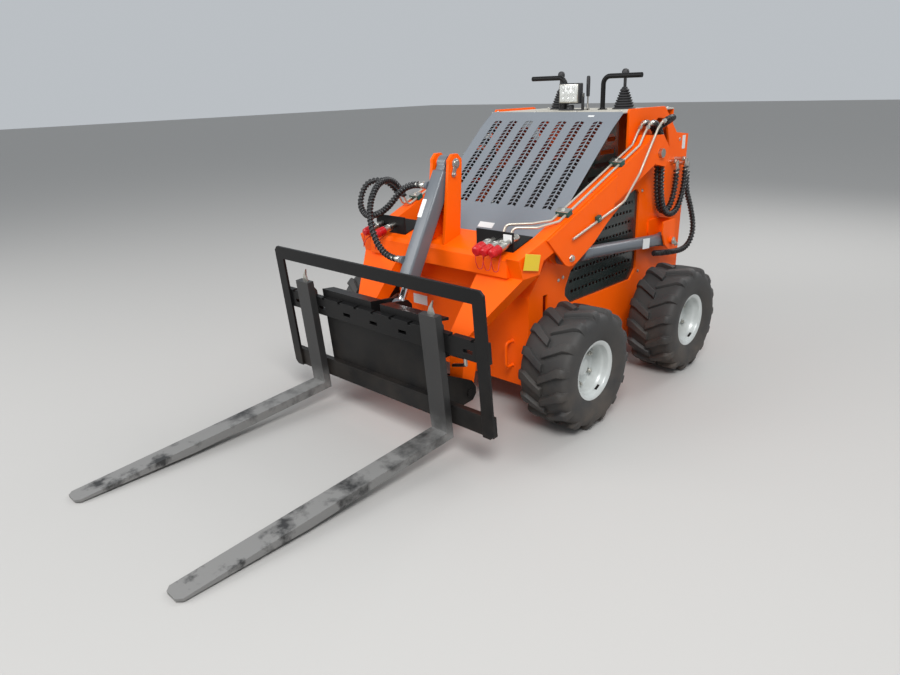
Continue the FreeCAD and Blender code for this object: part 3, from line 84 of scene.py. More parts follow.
def added(tree, kind, feeds=None, **settings):
    part = tree.nodes.new(kind)
    for label, value in settings.items():
        setattr(part, label, value)
    for socket, feed in (feeds or {}).items():
        if isinstance(feed, bpy.types.NodeSocket):
            tree.links.new(feed, part.inputs[socket])
        else:
            part.inputs[socket].default_value = feed
    return part


def addSocket(tree, name, way, kind, default=None):
    socket = tree.interface.new_socket(name=name, in_out=way, socket_type=kind)
    if default is not None:
        socket.default_value = default
    return socket


def shaderGroup(name, inputs, outputs):
    tree = bpy.data.node_groups.new(name, "ShaderNodeTree")
    for label, default in inputs:
        addSocket(tree, label, "INPUT", "NodeSocketFloat", default)
    for label, kind in outputs:
        addSocket(tree, label, "OUTPUT", kind)
    return tree, tree.nodes.new("NodeGroupInput"), tree.nodes.new("NodeGroupOutput")


# dust that fades with height, a mottle of broad patches, and fine scuffs

grime = {"patches": {"Detail": 7, "Roughness": 0.62}, "patchEdge": {"From Min": 0.35, "From Max": 0.68},
         "fadeStart": 1.15, "fadePower": 1.6, "streaks": {"Scale": 160, "Detail": 5, "Roughness": 0.75},
         "scuffEdge": {"From Min": 0.6, "From Max": 0.7}}


def makeGrime():
    tree, given, result = shaderGroup("grimeMask", [("Top", 0.5), ("Patch Scale", 9.0)], [
        ("Dust", "NodeSocketFloat"), ("Mottle", "NodeSocketFloat"), ("Scuff", "NodeSocketFloat")])
    place = added(tree, "ShaderNodeTexCoord").outputs["Object"]
    height = added(tree, "ShaderNodeSeparateXYZ", {0: place}).outputs["Z"]
    patches = added(tree, "ShaderNodeTexNoise", {
        "Vector": place, "Scale": given.outputs["Patch Scale"], **grime["patches"]}).outputs["Fac"]
    share = added(tree, "ShaderNodeMath", {0: height, 1: given.outputs["Top"]}, operation="DIVIDE")
    fade = added(tree, "ShaderNodeMath", {0: grime["fadeStart"], 1: share.outputs[0]}, operation="SUBTRACT",
                 use_clamp=True)
    soft = added(tree, "ShaderNodeMath", {0: fade.outputs[0], 1: grime["fadePower"]}, operation="POWER")
    broken = added(tree, "ShaderNodeMapRange", {"Value": patches, **grime["patchEdge"]})
    dust = added(tree, "ShaderNodeMath", {0: soft.outputs[0], 1: broken.outputs["Result"]}, operation="MULTIPLY")
    streaks = added(tree, "ShaderNodeTexNoise", {"Vector": place, **grime["streaks"]})
    scuff = added(tree, "ShaderNodeMapRange", {"Value": streaks.outputs["Fac"], **grime["scuffEdge"]})
    for label, mask in (("Dust", dust.outputs[0]), ("Mottle", patches), ("Scuff", scuff.outputs["Result"])):
        tree.links.new(mask, result.inputs[label])
    return tree


# eased edges with a fine grain, and a mask of where the edges turn

surface = {"bevelSamples": 4, "grainDetail": 3, "grainHeight": 0.001, "edgeTurn": {"From Min": 0.98, "From Max": 0.86}}


def makeSurface():
    tree, given, result = shaderGroup("easedGrain", [("Edge", 0.002), ("Grain Scale", 500.0), ("Grain Depth", 0.1)], [
        ("Normal", "NodeSocketVector"), ("Edge Wear", "NodeSocketFloat")])
    place = added(tree, "ShaderNodeTexCoord").outputs["Object"]
    eased = added(tree, "ShaderNodeBevel", {"Radius": given.outputs["Edge"]}, samples=surface["bevelSamples"])
    grain = added(tree, "ShaderNodeTexNoise", {
        "Vector": place, "Scale": given.outputs["Grain Scale"], "Detail": surface["grainDetail"]})
    bump = added(tree, "ShaderNodeBump", {
        "Distance": surface["grainHeight"], "Strength": given.outputs["Grain Depth"], "Height": grain.outputs["Fac"],
        "Normal": eased.outputs["Normal"]})
    flat = added(tree, "ShaderNodeNewGeometry").outputs["Normal"]
    meet = added(tree, "ShaderNodeVectorMath", {0: flat, 1: eased.outputs["Normal"]}, operation="DOT_PRODUCT")
    worn = added(tree, "ShaderNodeMapRange", {"Value": meet.outputs["Value"], **surface["edgeTurn"]})
    tree.links.new(bump.outputs["Normal"], result.inputs["Normal"])
    tree.links.new(worn.outputs["Result"], result.inputs["Edge Wear"])
    return tree


grimeMask = makeGrime()
easedGrain = makeSurface()

usual = {"shine": 0.5, "metal": 0.0, "coat": 0.0, "edge": 0.001, "grain": (500, 0.1), "dust": 0.0, "top": 0.5,
         "wear": 0.0, "soil": (0.17, 0.125, 0.09)}   # dust reaches up to top, in metres, and has the soil's colour
finishes = {
    "orangePaint": {"slot": "orange_paint", "color": (0.98, 0.122, 0.0005), "shade": (0.92, 0.106, 0.0005),
                    "rough": 0.38, "shine": 0.16, "edge": 0.003, "grain": (420, 0.1), "dust": 0.05, "top": 0.55},
    "hoodPaint": {"slot": "hood_paint", "color": (0.195, 0.213, 0.236), "shade": (0.172, 0.19, 0.212),
                  "rough": 0.42, "edge": 0.002, "grain": (600, 0.1)},
    "cylinderPaint": {"slot": "cylinder_paint", "color": (0.125, 0.138, 0.154), "shade": (0.105, 0.118, 0.134),
                      "rough": 0.32, "coat": 0.1, "edge": 0.004, "grain": (500, 0.08), "dust": 0.05, "top": 0.6},
    "grillePaint": {"slot": "dark_sheet", "color": (0.018, 0.028, 0.026), "shade": (0.012, 0.02, 0.019),
                    "rough": 0.22, "coat": 0.3, "grain": (500, 0.08), "dust": 0.1, "top": 0.6},
    "blackSteel": {"slot": "black_steel", "color": (0.004, 0.004, 0.0045), "shade": (0.009, 0.009, 0.009),
                   "rough": 0.4, "shine": 0.2, "edge": 0.002, "grain": (260, 0.22), "dust": 0.12, "wear": 0.5},
    "tineSteel": {"slot": "black_steel", "color": (0.016, 0.016, 0.0165), "shade": (0.03, 0.029, 0.028),
                  "rough": 0.45, "edge": 0.002, "grain": (180, 0.3), "dust": 3.2, "top": 0.16, "wear": 0.8,
                  "soil": (0.185, 0.182, 0.176)},   # the blades are rubbed to bare grey, the shanks stay black
    "zincPlate": {"slot": "zinc", "color": (0.62, 0.6, 0.54), "shade": (0.48, 0.47, 0.44), "rough": 0.3,
                  "metal": 1.0, "edge": 0.0008, "grain": (700, 0.12), "dust": 0.06},
    "tubeSteel": {"slot": "zinc", "color": (0.66, 0.6, 0.5), "shade": (0.56, 0.51, 0.43), "rough": 0.34,
                  "metal": 0.65, "edge": 0.0005, "grain": (700, 0.06)},
    "chromeRod": {"slot": "rod_chrome", "color": (0.74, 0.74, 0.75), "shade": (0.7, 0.7, 0.71), "rough": 0.09,
                  "metal": 1.0, "edge": 0.0005, "grain": (900, 0.02)},
    "tyreRubber": {"slot": "tyre_rubber", "color": (0.02, 0.02, 0.021), "shade": (0.045, 0.043, 0.04),
                   "rough": 0.62, "edge": 0.002, "grain": (320, 0.35), "dust": 0.34, "top": 0.42},
    "rimPaint": {"slot": "rim_paint", "color": (0.6, 0.63, 0.62), "shade": (0.5, 0.53, 0.52), "rough": 0.36,
                 "metal": 0.1, "coat": 0.2, "grain": (600, 0.08), "dust": 0.35, "top": 0.4},
    "hubCast": {"slot": "dark_cast", "color": (0.05, 0.05, 0.052), "shade": (0.09, 0.085, 0.08), "rough": 0.5,
                "metal": 0.3, "edge": 0.003, "grain": (220, 0.4), "dust": 0.4, "wear": 0.3},
    "hoseRubber": {"slot": "hose_rubber", "color": (0.014, 0.014, 0.015), "shade": (0.02, 0.02, 0.021),
                   "rough": 0.5, "edge": 0.0005, "grain": (900, 0.25), "dust": 0.1, "top": 0.6},
    "guardPlastic": {"slot": "hose_rubber", "color": (0.012, 0.012, 0.013), "shade": (0.02, 0.02, 0.02),
                     "rough": 0.32, "edge": 0.0005, "grain": (900, 0.1), "dust": 0.05, "top": 0.6},
    "bootRubber": {"slot": "black_rubber", "color": (0.018, 0.018, 0.02), "shade": (0.03, 0.03, 0.032),
                   "rough": 0.55, "grain": (700, 0.2)},
    "capPlastic": {"slot": "cap_plastic", "color": (0.55, 0.004, 0.008), "shade": (0.45, 0.003, 0.006),
                   "rough": 0.35, "coat": 0.05},
    "clampPlastic": {"slot": "black_rubber", "color": (0.012, 0.075, 0.06), "shade": (0.01, 0.06, 0.05),
                     "rough": 0.38, "grain": (500, 0.15)},
    "creamSheet": {"slot": "cream_sheet", "color": (0.52, 0.49, 0.42), "shade": (0.42, 0.4, 0.34), "rough": 0.5,
                   "grain": (400, 0.15)},
    "engineCast": {"slot": "engine_metal", "color": (0.03, 0.03, 0.032), "shade": (0.05, 0.05, 0.05),
                   "rough": 0.55, "metal": 0.2, "edge": 0.004, "grain": (200, 0.4), "dust": 0.1, "wear": 0.2},
    "labelWhite": {"slot": "cream_sheet", "color": (0.72, 0.73, 0.72), "shade": (0.66, 0.67, 0.66), "rough": 0.32,
                   "coat": 0.3, "edge": 0.0004, "grain": (300, 0.05), "dust": 0.05},
    "labelYellow": {"slot": "cream_sheet", "color": (0.8, 0.56, 0.01), "shade": (0.72, 0.5, 0.01), "rough": 0.3,
                    "coat": 0.3, "edge": 0.0004, "grain": (300, 0.05)},
    "brass": {"slot": "zinc", "color": (0.66, 0.42, 0.14), "shade": (0.56, 0.35, 0.11), "rough": 0.3,
              "metal": 1.0, "edge": 0.0005, "dust": 0.1, "top": 0.4},
    "lampLens": {"slot": "lamp_body", "color": (0.62, 0.63, 0.6), "shade": (0.45, 0.46, 0.45), "rough": 0.08,
                 "coat": 1.0, "grain": (120, 0.25)},
}
bareMetal, coatRough, roughSpread = (0.26, 0.25, 0.24), 0.08, (0.8, 1.3)


def finishFor(name):
    look = {**usual, **finishes[name]}
    material = bpy.data.materials.new(name)
    material.use_nodes = True
    tree = material.node_tree
    shader = tree.nodes["Principled BSDF"]
    masks = added(tree, "ShaderNodeGroup", {"Top": look["top"]}, node_tree=grimeMask).outputs
    relief = added(tree, "ShaderNodeGroup", {
        "Edge": look["edge"], "Grain Scale": look["grain"][0], "Grain Depth": look["grain"][1]},
        node_tree=easedGrain).outputs

    def layered(mask, under, over):
        return added(tree, "ShaderNodeMix", {"Factor": mask, "A": under, "B": over}, data_type="RGBA").outputs["Result"]

    def times(first, second):
        return added(tree, "ShaderNodeMath", {0: first, 1: second}, operation="MULTIPLY").outputs[0]

    color = layered(masks["Mottle"], (*look["color"], 1), (*look["shade"], 1))
    if look["wear"]:
        bare = (*(tone * look["wear"] for tone in bareMetal), 1)
        color = layered(times(relief["Edge Wear"], masks["Scuff"]), color, bare)
    if look["dust"]:
        color = layered(times(masks["Dust"], look["dust"]), color, (*look["soil"], 1))
    rough = added(tree, "ShaderNodeMapRange", {
        "Value": masks["Mottle"], "To Min": look["rough"] * roughSpread[0],
        "To Max": min(1.0, look["rough"] * roughSpread[1])})
    for socket, feed in (("Base Color", color), ("Roughness", rough.outputs["Result"]), ("Normal", relief["Normal"])):
        tree.links.new(feed, shader.inputs[socket])
    for socket, level in (("Metallic", look["metal"]), ("Coat Weight", look["coat"]), ("Coat Roughness", coatRough),
                          ("Specular IOR Level", look["shine"])):
        shader.inputs[socket].default_value = level
    return material


materials = {name: finishFor(name) for name in finishes}
coats = {   # the CAD nodes that stay, by their finish
    "orangePaint": ["chassis_frame", "left_arm", "right_arm", "cross_member", "tilt_tower", "lift_clevises"],
    "grillePaint": ["side_grilles", "hood_side_sheets", "rear_cover"],
    "creamSheet": ["control_console"],
    "blackSteel": ["attach_plate", "fork_frame", "coupler_brackets"],
    "tineSteel": ["left_fork", "right_fork"],
    "hubCast": ["wheel_motors"],
    "engineCast": ["engine_block"],
    "zincPlate": ["pivot_pins", "fork_latches", "latch_lever", "tilt_ports", "hose_elbows"],
    "bootRubber": ["arm_buffers", "work_lamp"],
}
for name, members in coats.items():
    for member in members:
        nodes[member].data.materials.clear()
        nodes[member].data.materials.append(materials[name])
print("coats done")


# pieces from meshes, with profiles and sizes in millimetres

def linked(name, data):
    piece = bpy.data.objects.new(name, data)
    scene.collection.objects.link(piece)
    return piece


def rounded(mesh, angle=32):
    mesh.shade_smooth()
    mesh.set_sharp_from_angle(angle=math.radians(angle))
    return mesh


def meshFrom(sketch, name):
    mesh = bpy.data.meshes.new(name)
    sketch.to_mesh(mesh)
    sketch.free()
    return mesh


def meshOf(source):
    bpy.context.view_layer.update()
    mesh = bpy.data.meshes.new_from_object(source.evaluated_get(bpy.context.evaluated_depsgraph_get()))
    source.modifiers.clear()
    bpy.data.objects.remove(source)
    return mesh


def turned(profile, segments=48, closed=False):
    sketch = bmesh.new()
    rings = []
    for radius, height in profile:
        corners = segments if radius > 0 else 1
        rings.append([sketch.verts.new(metres(radius * math.cos(math.tau * k / segments),
                                              radius * math.sin(math.tau * k / segments), height))
                      for k in range(corners)])
    pairs = zip(rings, rings[1:] + rings[:1]) if closed else zip(rings, rings[1:])
    for low, high in pairs:
        for k in range(segments):
            after = (k + 1) % segments
            corners = [low[k % len(low)], low[after % len(low)], high[after % len(high)], high[k % len(high)]]
            unique = [corner for place, corner in enumerate(corners) if corner not in corners[:place]]
            if len(unique) > 2:
                sketch.faces.new(unique)
    if not closed:
        for ring in (rings[0], rings[-1]):
            if len(ring) > 1:
                sketch.faces.new(ring)
    bmesh.ops.recalc_face_normals(sketch, faces=sketch.faces)
    return rounded(meshFrom(sketch, "turned"))


def block(size, ease=1.0, steps=2):
    sketch = bmesh.new()
    bmesh.ops.create_cube(sketch, size=1)
    bmesh.ops.scale(sketch, vec=Vector(size) / 1000, verts=sketch.verts)
    bmesh.ops.bevel(sketch, geom=sketch.edges, offset=ease / 1000, segments=steps, affect="EDGES", profile=0.5)
    return rounded(meshFrom(sketch, "block"))


def label(width, height):
    return block((width, height, 0.8), 0.3, 1)


def hexHead(across, height, washer=0):
    rim, foot = across / 2, 1.2 if washer else 0
    rows = [(washer / 2, 0), (washer / 2, foot)] if washer else []
    return turned(rows + [(rim, foot), (rim, height * 0.85), (rim * 0.82, height), (0, height)], 6)


def assembled(name, body, rows, replaces=()):   # rows of mesh, place and finish become one piece on a body
    sketch = bmesh.new()
    mesh = bpy.data.meshes.new(name)
    used = []
    for part, place, finish in rows:
        if finish not in used:
            used.append(finish)
            mesh.materials.append(materials[finish])
        copy = part.copy()
        copy.transform(place)
        start = len(sketch.faces)
        sketch.from_mesh(copy)
        sketch.faces.ensure_lookup_table()
        for face in sketch.faces[start:]:
            face.material_index = used.index(finish)
        bpy.data.meshes.remove(copy)
    sketch.to_mesh(mesh)
    sketch.free()
    piece = linked(name, mesh)
    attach(piece, body)
    if replaces:
        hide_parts(*replaces)
    return piece


# trees of geometry nodes

def geometryTree(name, inputs):
    tree = bpy.data.node_groups.new(name, "GeometryNodeTree")
    addSocket(tree, "Geometry", "INPUT", "NodeSocketGeometry")
    sockets = {label: addSocket(tree, label, "INPUT", kind, default).identifier for label, kind, default in inputs}
    sockets["Finish"] = addSocket(tree, "Finish", "INPUT", "NodeSocketMaterial").identifier
    addSocket(tree, "Geometry", "OUTPUT", "NodeSocketGeometry")
    return tree, sockets, tree.nodes.new("NodeGroupInput"), tree.nodes.new("NodeGroupOutput")


def coated(tree, given, result, last):
    real = added(tree, "GeometryNodeRealizeInstances", {0: last})
    coat = added(tree, "GeometryNodeSetMaterial", {"Geometry": real.outputs[0], "Material": given.outputs["Finish"]})
    tree.links.new(coat.outputs[0], result.inputs[0])


def smoothSkin(tree, curve, section, caps):
    skin = added(tree, "GeometryNodeCurveToMesh", {"Curve": curve, "Profile Curve": section, "Fill Caps": caps})
    return added(tree, "GeometryNodeSetShadeSmooth", {0: skin.outputs[0]}).outputs[0]


def makeScatterTree():
    tree, sockets, given, result = geometryTree("itemsOnSpots", [("Item", "NodeSocketObject", None)])
    item = added(tree, "GeometryNodeObjectInfo", {"Object": given.outputs["Item"]})
    aim = added(tree, "GeometryNodeInputNamedAttribute", {"Name": "aim"}, data_type="FLOAT_VECTOR")
    spin = added(tree, "GeometryNodeInputNamedAttribute", {"Name": "spin"}, data_type="FLOAT")
    aimed = added(tree, "FunctionNodeAlignRotationToVector", {"Vector": aim.outputs[0]}, axis="Z")
    about = added(tree, "ShaderNodeCombineXYZ", {"Z": spin.outputs[0]})
    own = added(tree, "FunctionNodeEulerToRotation", {0: about.outputs[0]})
    turn = added(tree, "FunctionNodeRotateRotation", {0: aimed.outputs[0], 1: own.outputs[0]}, rotation_space="LOCAL")
    places = added(tree, "GeometryNodeInstanceOnPoints", {
        "Points": given.outputs["Geometry"], "Instance": item.outputs["Geometry"], "Rotation": turn.outputs[0]})
    coated(tree, given, result, places.outputs[0])
    return tree, sockets


def makeTubeTree():
    tree, sockets, given, result = geometryTree("bentTube", [
        ("Radius", "NodeSocketFloat", 0.005), ("Bend", "NodeSocketFloat", 0.02), ("Sides", "NodeSocketInt", 16),
        ("Bend Steps", "NodeSocketInt", 7)])
    bend = added(tree, "GeometryNodeFilletCurve", {
        "Curve": given.outputs["Geometry"], "Radius": given.outputs["Bend"], "Count": given.outputs["Bend Steps"],
        "Limit Radius": True}, mode="POLY")
    section = added(tree, "GeometryNodeCurvePrimitiveCircle", {
        "Radius": given.outputs["Radius"], "Resolution": given.outputs["Sides"]})
    coated(tree, given, result, smoothSkin(tree, bend.outputs[0], section.outputs[0], True))
    return tree, sockets


def makeSpiralTree():
    tree, sockets, given, result = geometryTree("spiralGuard", [
        ("Pitch", "NodeSocketFloat", 0.009), ("Radius", "NodeSocketFloat", 0.0095),
        ("Strip", "NodeSocketFloat", 0.0022), ("Steps", "NodeSocketInt", 12), ("Sides", "NodeSocketInt", 6)])

    def sum2(operation, first, second):
        return added(tree, "ShaderNodeMath", {0: first, 1: second}, operation=operation).outputs[0]

    pitch = given.outputs["Pitch"]
    fine = added(tree, "GeometryNodeResampleCurve", {
        "Curve": given.outputs["Geometry"], "Length": sum2("DIVIDE", pitch, given.outputs["Steps"])}, mode="LENGTH")
    along = added(tree, "GeometryNodeSplineParameter").outputs["Length"]
    normal = added(tree, "GeometryNodeInputNormal").outputs[0]
    tangent = added(tree, "GeometryNodeInputTangent").outputs[0]
    angle = sum2("MULTIPLY", sum2("DIVIDE", along, pitch), math.tau)
    swung = added(tree, "ShaderNodeVectorRotate", {"Vector": normal, "Axis": tangent, "Angle": angle},
                  rotation_type="AXIS_ANGLE")
    out = added(tree, "ShaderNodeVectorMath", {0: swung.outputs[0], "Scale": given.outputs["Radius"]},
                operation="SCALE")
    wound = added(tree, "GeometryNodeSetPosition", {"Geometry": fine.outputs[0], "Offset": out.outputs[0]})
    section = added(tree, "GeometryNodeCurvePrimitiveCircle", {
        "Resolution": given.outputs["Sides"], "Radius": given.outputs["Strip"]})
    coated(tree, given, result, smoothSkin(tree, wound.outputs[0], section.outputs[0], False))
    return tree, sockets


scatterTree = makeScatterTree()
tubeTree = makeTubeTree()
spiralTree = makeSpiralTree()


def grown(source, kind, finish, values):
    tree, sockets = kind
    modifier = source.modifiers.new("tree", "NODES")
    modifier.node_group = tree
    for label, value in {**values, "Finish": materials[finish]}.items():
        modifier[sockets[label]] = value
    return meshOf(source)


def scattered(item, finish, rows):   # rows of spot, aim and spin
    points = bpy.data.meshes.new("spots")
    points.from_pydata([tuple(place) for place, aim, spin in rows], [], [])
    points.attributes.new("aim", "FLOAT_VECTOR", "POINT")
    points.attributes.new("spin", "FLOAT", "POINT")
    aims, spins = points.attributes["aim"], points.attributes["spin"]   # fetched after both are made
    for number, (place, aim, spin) in enumerate(rows):
        aims.data[number].vector = aim
        spins.data[number].value = spin
    stamp = linked("stamp", item)
    mesh = grown(linked("spots", points), scatterTree, finish, {"Item": stamp})
    bpy.data.objects.remove(stamp)
    return mesh


def lineThrough(points, kind):
    line = bpy.data.curves.new("line", "CURVE")
    line.dimensions = "3D"
    run = line.splines.new(kind)
    run.points.add(len(points) - 1)
    for place, point in zip(run.points, points):
        place.co = (*point, 1)
    return line, run


def bent(points, radius, bend, finish, sides=16):   # a tube with rounded bends, ready for assembled
    line = linked("line", lineThrough(points, "POLY")[0])
    return grown(line, tubeTree, finish, {"Radius": radius, "Bend": bend, "Sides": sides}), still, finish


# wheels: lathed carcasses with two rings of swept lugs, on dished rims

wheelPlace = {"side": 545, "axle": 390, "height": 238,
              "upright": ((0, 0, 1, 0), (0, -1, 0, 0), (1, 0, 0, 0), (0, 0, 0, 1))}   # local Z along the axle
tyre = {"carcass": [(118, 93), (126, 99), (142, 105), (160, 109), (178, 110), (196, 108), (209, 102), (216, 93),
                    (219, 80), (220.5, 60), (221, 30), (221, 0)],
        "inside": [(110, 90), (104.5, 84), (104.5, 40)], "segments": 96}
lug = {"stations": [(-4, -38.5, -10.5), (10, -31, -3), (25, -23, 6), (40, -15, 15.5), (55, -6.5, 26), (66, 0, 34),
                    (74, 3.5, 38), (82, 5, 38.5), (89, 6, 38.5), (95, 6.6, 38.5), (101, 7, 38.5), (105, 7.4, 38),
                    (107.5, 7.7, 38)],   # across the tyre, and both edges round it
       "tops": [236.5, 237, 237, 237, 237, 237, 237, 236.5, 235, 231, 223, 212, 198],
       "perSide": 15, "lead": (38.5, 235), "draft": 3.0, "ease": 1.8, "crown": 0.2, "foot": 217, "sunk": 14,
       "least": 4, "shoulder": 84, "turnRadius": 230, "carcassTop": 221, "fallFrom": 80, "fall": 12}
rim = {"shell": [(117, 93), (118, 90), (117.5, 86.5), (107, 84.5), (104, 82), (104, 70), (101, 64), (97, 60), (97, 10),
                 (97, -60), (101, -64), (104, -70), (104, -82), (107, -84.5), (117.5, -86.5), (118, -90), (117, -93),
                 (111, -93), (106, -89), (98.5, -85), (98, -70), (92, -62), (91, 0), (91, 10), (91, 56), (95, 63),
                 (98, 69), (98.5, 82), (101, 87), (106, 89.5), (112, 93)],
       "disc": [(91, 10), (91, 18), (86, 15), (60, 15), (54, 19), (46, 19), (46, 11), (60, 7), (86, 7)],
       "cap": [(46, 10), (46, 19), (40, 22), (34, 24), (33, 38), (28, 41), (0, 42)],
       "nut": [(12, 0), (12, 2), (9.8, 2.2), (9.8, 13), (8, 15), (5.5, 15), (5.5, 20), (4.5, 21), (0, 21)],
       "nuts": 6, "nutCircle": 72, "nutSeat": 14.8, "nutTurn": 0.3,
       "valve": [(5.5, 0), (5.5, 3), (3.4, 4), (3.4, 14), (4.2, 15), (4.2, 23), (2.6, 25), (0, 25)],
       "valveTurn": 2.5, "valveSeat": (90.5, 0, 34), "valveLean": (-0.55, 0, 1),
       "weight": (9, 26, 5), "weightTurn": 3.6, "weightSeat": (96.5, 0, 76)}


def lugFoot(across):
    if abs(across) < lug["shoulder"]:
        return lug["foot"]
    return (lug["carcassTop"] ** 2 - (abs(across) - lug["fallFrom"]) ** 2 * lug["fall"]) ** 0.5 - lug["sunk"]


def lugMesh(side):
    sketch = bmesh.new()
    rows = []
    draft, ease, crown = lug["draft"], lug["ease"], lug["crown"]
    for (across, low, high), top in zip(lug["stations"], lug["tops"]):
        base = min(lugFoot(across), top - lug["least"])
        section = [(low - draft, base), (low + crown, top - ease), (low + ease, top - crown),
                   ((low + high) / 2, top + crown), (high - ease, top - crown), (high - crown, top - ease),
                   (high + draft, base)]
        rows.append([sketch.verts.new(metres(radius * math.cos(-around / lug["turnRadius"]),
                                             radius * math.sin(-around / lug["turnRadius"]), side * across))
                     for around, radius in section])
    for before, after in zip(rows, rows[1:]):
        for k in range(len(before)):
            sketch.faces.new((before[k - 1], before[k], after[k], after[k - 1]))
    sketch.faces.new(rows[0])
    sketch.faces.new(rows[-1])
    bmesh.ops.recalc_face_normals(sketch, faces=sketch.faces)
    return rounded(meshFrom(sketch, "lug"), 40)


outer, inside = tyre["carcass"], tyre["inside"]
farSide = [(radius, -across) for radius, across in outer[-2::-1] + inside]
carcass = turned(outer + farSide + inside[::-1], tyre["segments"], closed=True)
lugPitch, lead = math.tau / lug["perSide"], math.atan2(*lug["lead"])
lugRings = [scattered(lugMesh(side), "tyreRubber", [(Vector(), up, (k + half / 2) * lugPitch + lead)
                                                    for k in range(lug["perSide"])])
            for half, side in enumerate((1, -1))]   # one ring lies half a pitch behind the other
rimShell = turned(rim["shell"], 96, closed=True)
rimDisc = turned(rim["disc"], 72, closed=True)
rimCap = turned(rim["cap"], 40)
nutAngles = [math.tau * k / rim["nuts"] for k in range(rim["nuts"])]
nutRing = scattered(turned(rim["nut"], 6), "zincPlate", [
    (metres(rim["nutCircle"] * math.cos(angle), rim["nutCircle"] * math.sin(angle), rim["nutSeat"]), up,
     rim["nutTurn"] * k) for k, angle in enumerate(nutAngles)])
valve = turned(rim["valve"], 16)
weight = block(rim["weight"], 1.2)
valveSeat = spun(rim["valveTurn"]) @ facing(metres(*rim["valveSeat"]), rim["valveLean"])
weightSeat = spun(rim["weightTurn"]) @ facing(metres(*rim["weightSeat"]), -crossways)
for side, sign in (("left", 1), ("right", -1)):
    for end, way in (("front", -1), ("rear", 1)):
        wheel, body = f"{side}_{end}", f"{side}_{end}_wheel"
        hub = at(sign * wheelPlace["side"], way * wheelPlace["axle"], wheelPlace["height"]) \
            @ Matrix(wheelPlace["upright"])
        out = hub if sign > 0 else hub @ spun(math.pi, "X")
        assembled(f"{wheel}_tyreRubber", body, [
            (part, hub, "tyreRubber") for part in (carcass, *lugRings)], [f"{wheel}_tyre"])
        assembled(f"{wheel}_rimSteel", body, [
            (rimShell, hub, "rimPaint"), (rimDisc, out, "rimPaint"), (rimCap, out, "rimPaint"),
            (nutRing, out, "zincPlate"), (valve, out @ valveSeat, "brass"), (weight, out @ weightSeat, "blackSteel"),
        ], [f"{wheel}_rim"])
print("wheels done")


# bonnet of thin sheet with pairs of louvre rows that lean against each other

hood = {"side": [(-330, 690), (-240, 770), (-150, 850.5), (-60, 930.8), (30, 1011), (88, 1062.5), (112, 1083.5),
                 (135, 1101), (165, 1122.5), (197, 1145)],
        "width": 718, "sheet": 3, "edge": 5, "edgeDrop": 6, "columns": 7, "pitch": 91, "slot": 19, "gap": 6,
        "slant": 6.5, "rows": 25, "rowPitch": 19.4, "open": 14.6, "start": 149, "clear": 8, "plainBands": (4, 6),
        "slope": (0, -0.665, 0.747)}


def alongLine(points, distance):
    for (ya, za), (yb, zb) in zip(points, points[1:]):
        run = math.hypot(yb - ya, zb - za)
        if distance <= run or (yb, zb) == points[-1]:
            share = distance / run
            return ya + (yb - ya) * share, za + (zb - za) * share
        distance -= run


def hoodMesh():
    line = hood["side"]
    total = sum(math.hypot(b[0] - a[0], b[1] - a[1]) for a, b in zip(line, line[1:]))
    half, slot, slant, start = hood["width"] / 2, hood["slot"], hood["slant"], hood["start"]
    columns = [(-half, 0.0, False), (-half + hood["edge"], 0.0, False)]
    for k in range(hood["columns"]):
        middle = (k - (hood["columns"] - 1) / 2) * hood["pitch"]
        leftRow, rightRow = middle - hood["gap"] / 2 - slot, middle + hood["gap"] / 2
        columns += [(leftRow, 0.0, True), (leftRow + slot, slant, False), (rightRow, slant, True),
                    (rightRow + slot, 0.0, False)]
    columns += [(half - hood["edge"], 0.0, False), (half, 0.0, False)]
    last = start + hood["rows"] * hood["rowPitch"] + hood["clear"]
    front, back = hood["plainBands"]
    before = [start * k / front for k in range(front)]
    after = [last + (total - last) * k / (back - 1) for k in range(back)]
    sketch = bmesh.new()
    grid = []
    for x, shift, slotted in columns:
        marks = before + [start + n * hood["rowPitch"] + side + shift
                          for n in range(hood["rows"]) for side in (0, hood["open"])] + after
        drop = hood["edgeDrop"] if abs(x) == half else 0
        places = [alongLine(line, min(mark, total)) for mark in marks]
        grid.append([sketch.verts.new(spot(x, y, z - drop)) for y, z in places])
    for (x, shift, slotted), left, right in zip(columns, grid, grid[1:]):
        for n in range(len(left) - 1):
            number = n - front
            if slotted and 0 <= number < 2 * hood["rows"] and number % 2 == 0:
                continue   # a slot
            sketch.faces.new((left[n], right[n], right[n + 1], left[n + 1]))
    bmesh.ops.recalc_face_normals(sketch, faces=sketch.faces)
    sketch.faces.ensure_lookup_table()
    if sketch.faces[0].normal.z < 0:
        bmesh.ops.reverse_faces(sketch, faces=sketch.faces)
    sheet = linked("hoodSkin", meshFrom(sketch, "hoodSkin"))
    thick = sheet.modifiers.new("thick", "SOLIDIFY")
    thick.thickness = hood["sheet"] / 1000
    thick.offset = -1
    return rounded(meshOf(sheet), 35)


assembled("bonnetSkin", "chassis", [
    (hoodMesh(), still, "hoodPaint"),
    (label(80, 28), facing(spot(25, -303, 715), hood["slope"]), "labelWhite"),
    (label(31, 9), facing(spot(218, 172, 1129), hood["slope"]), "labelWhite")], ["hood"])
print("bonnet done")


# cylinders: lathed lift barrels, a square tilt barrel, chromed rods

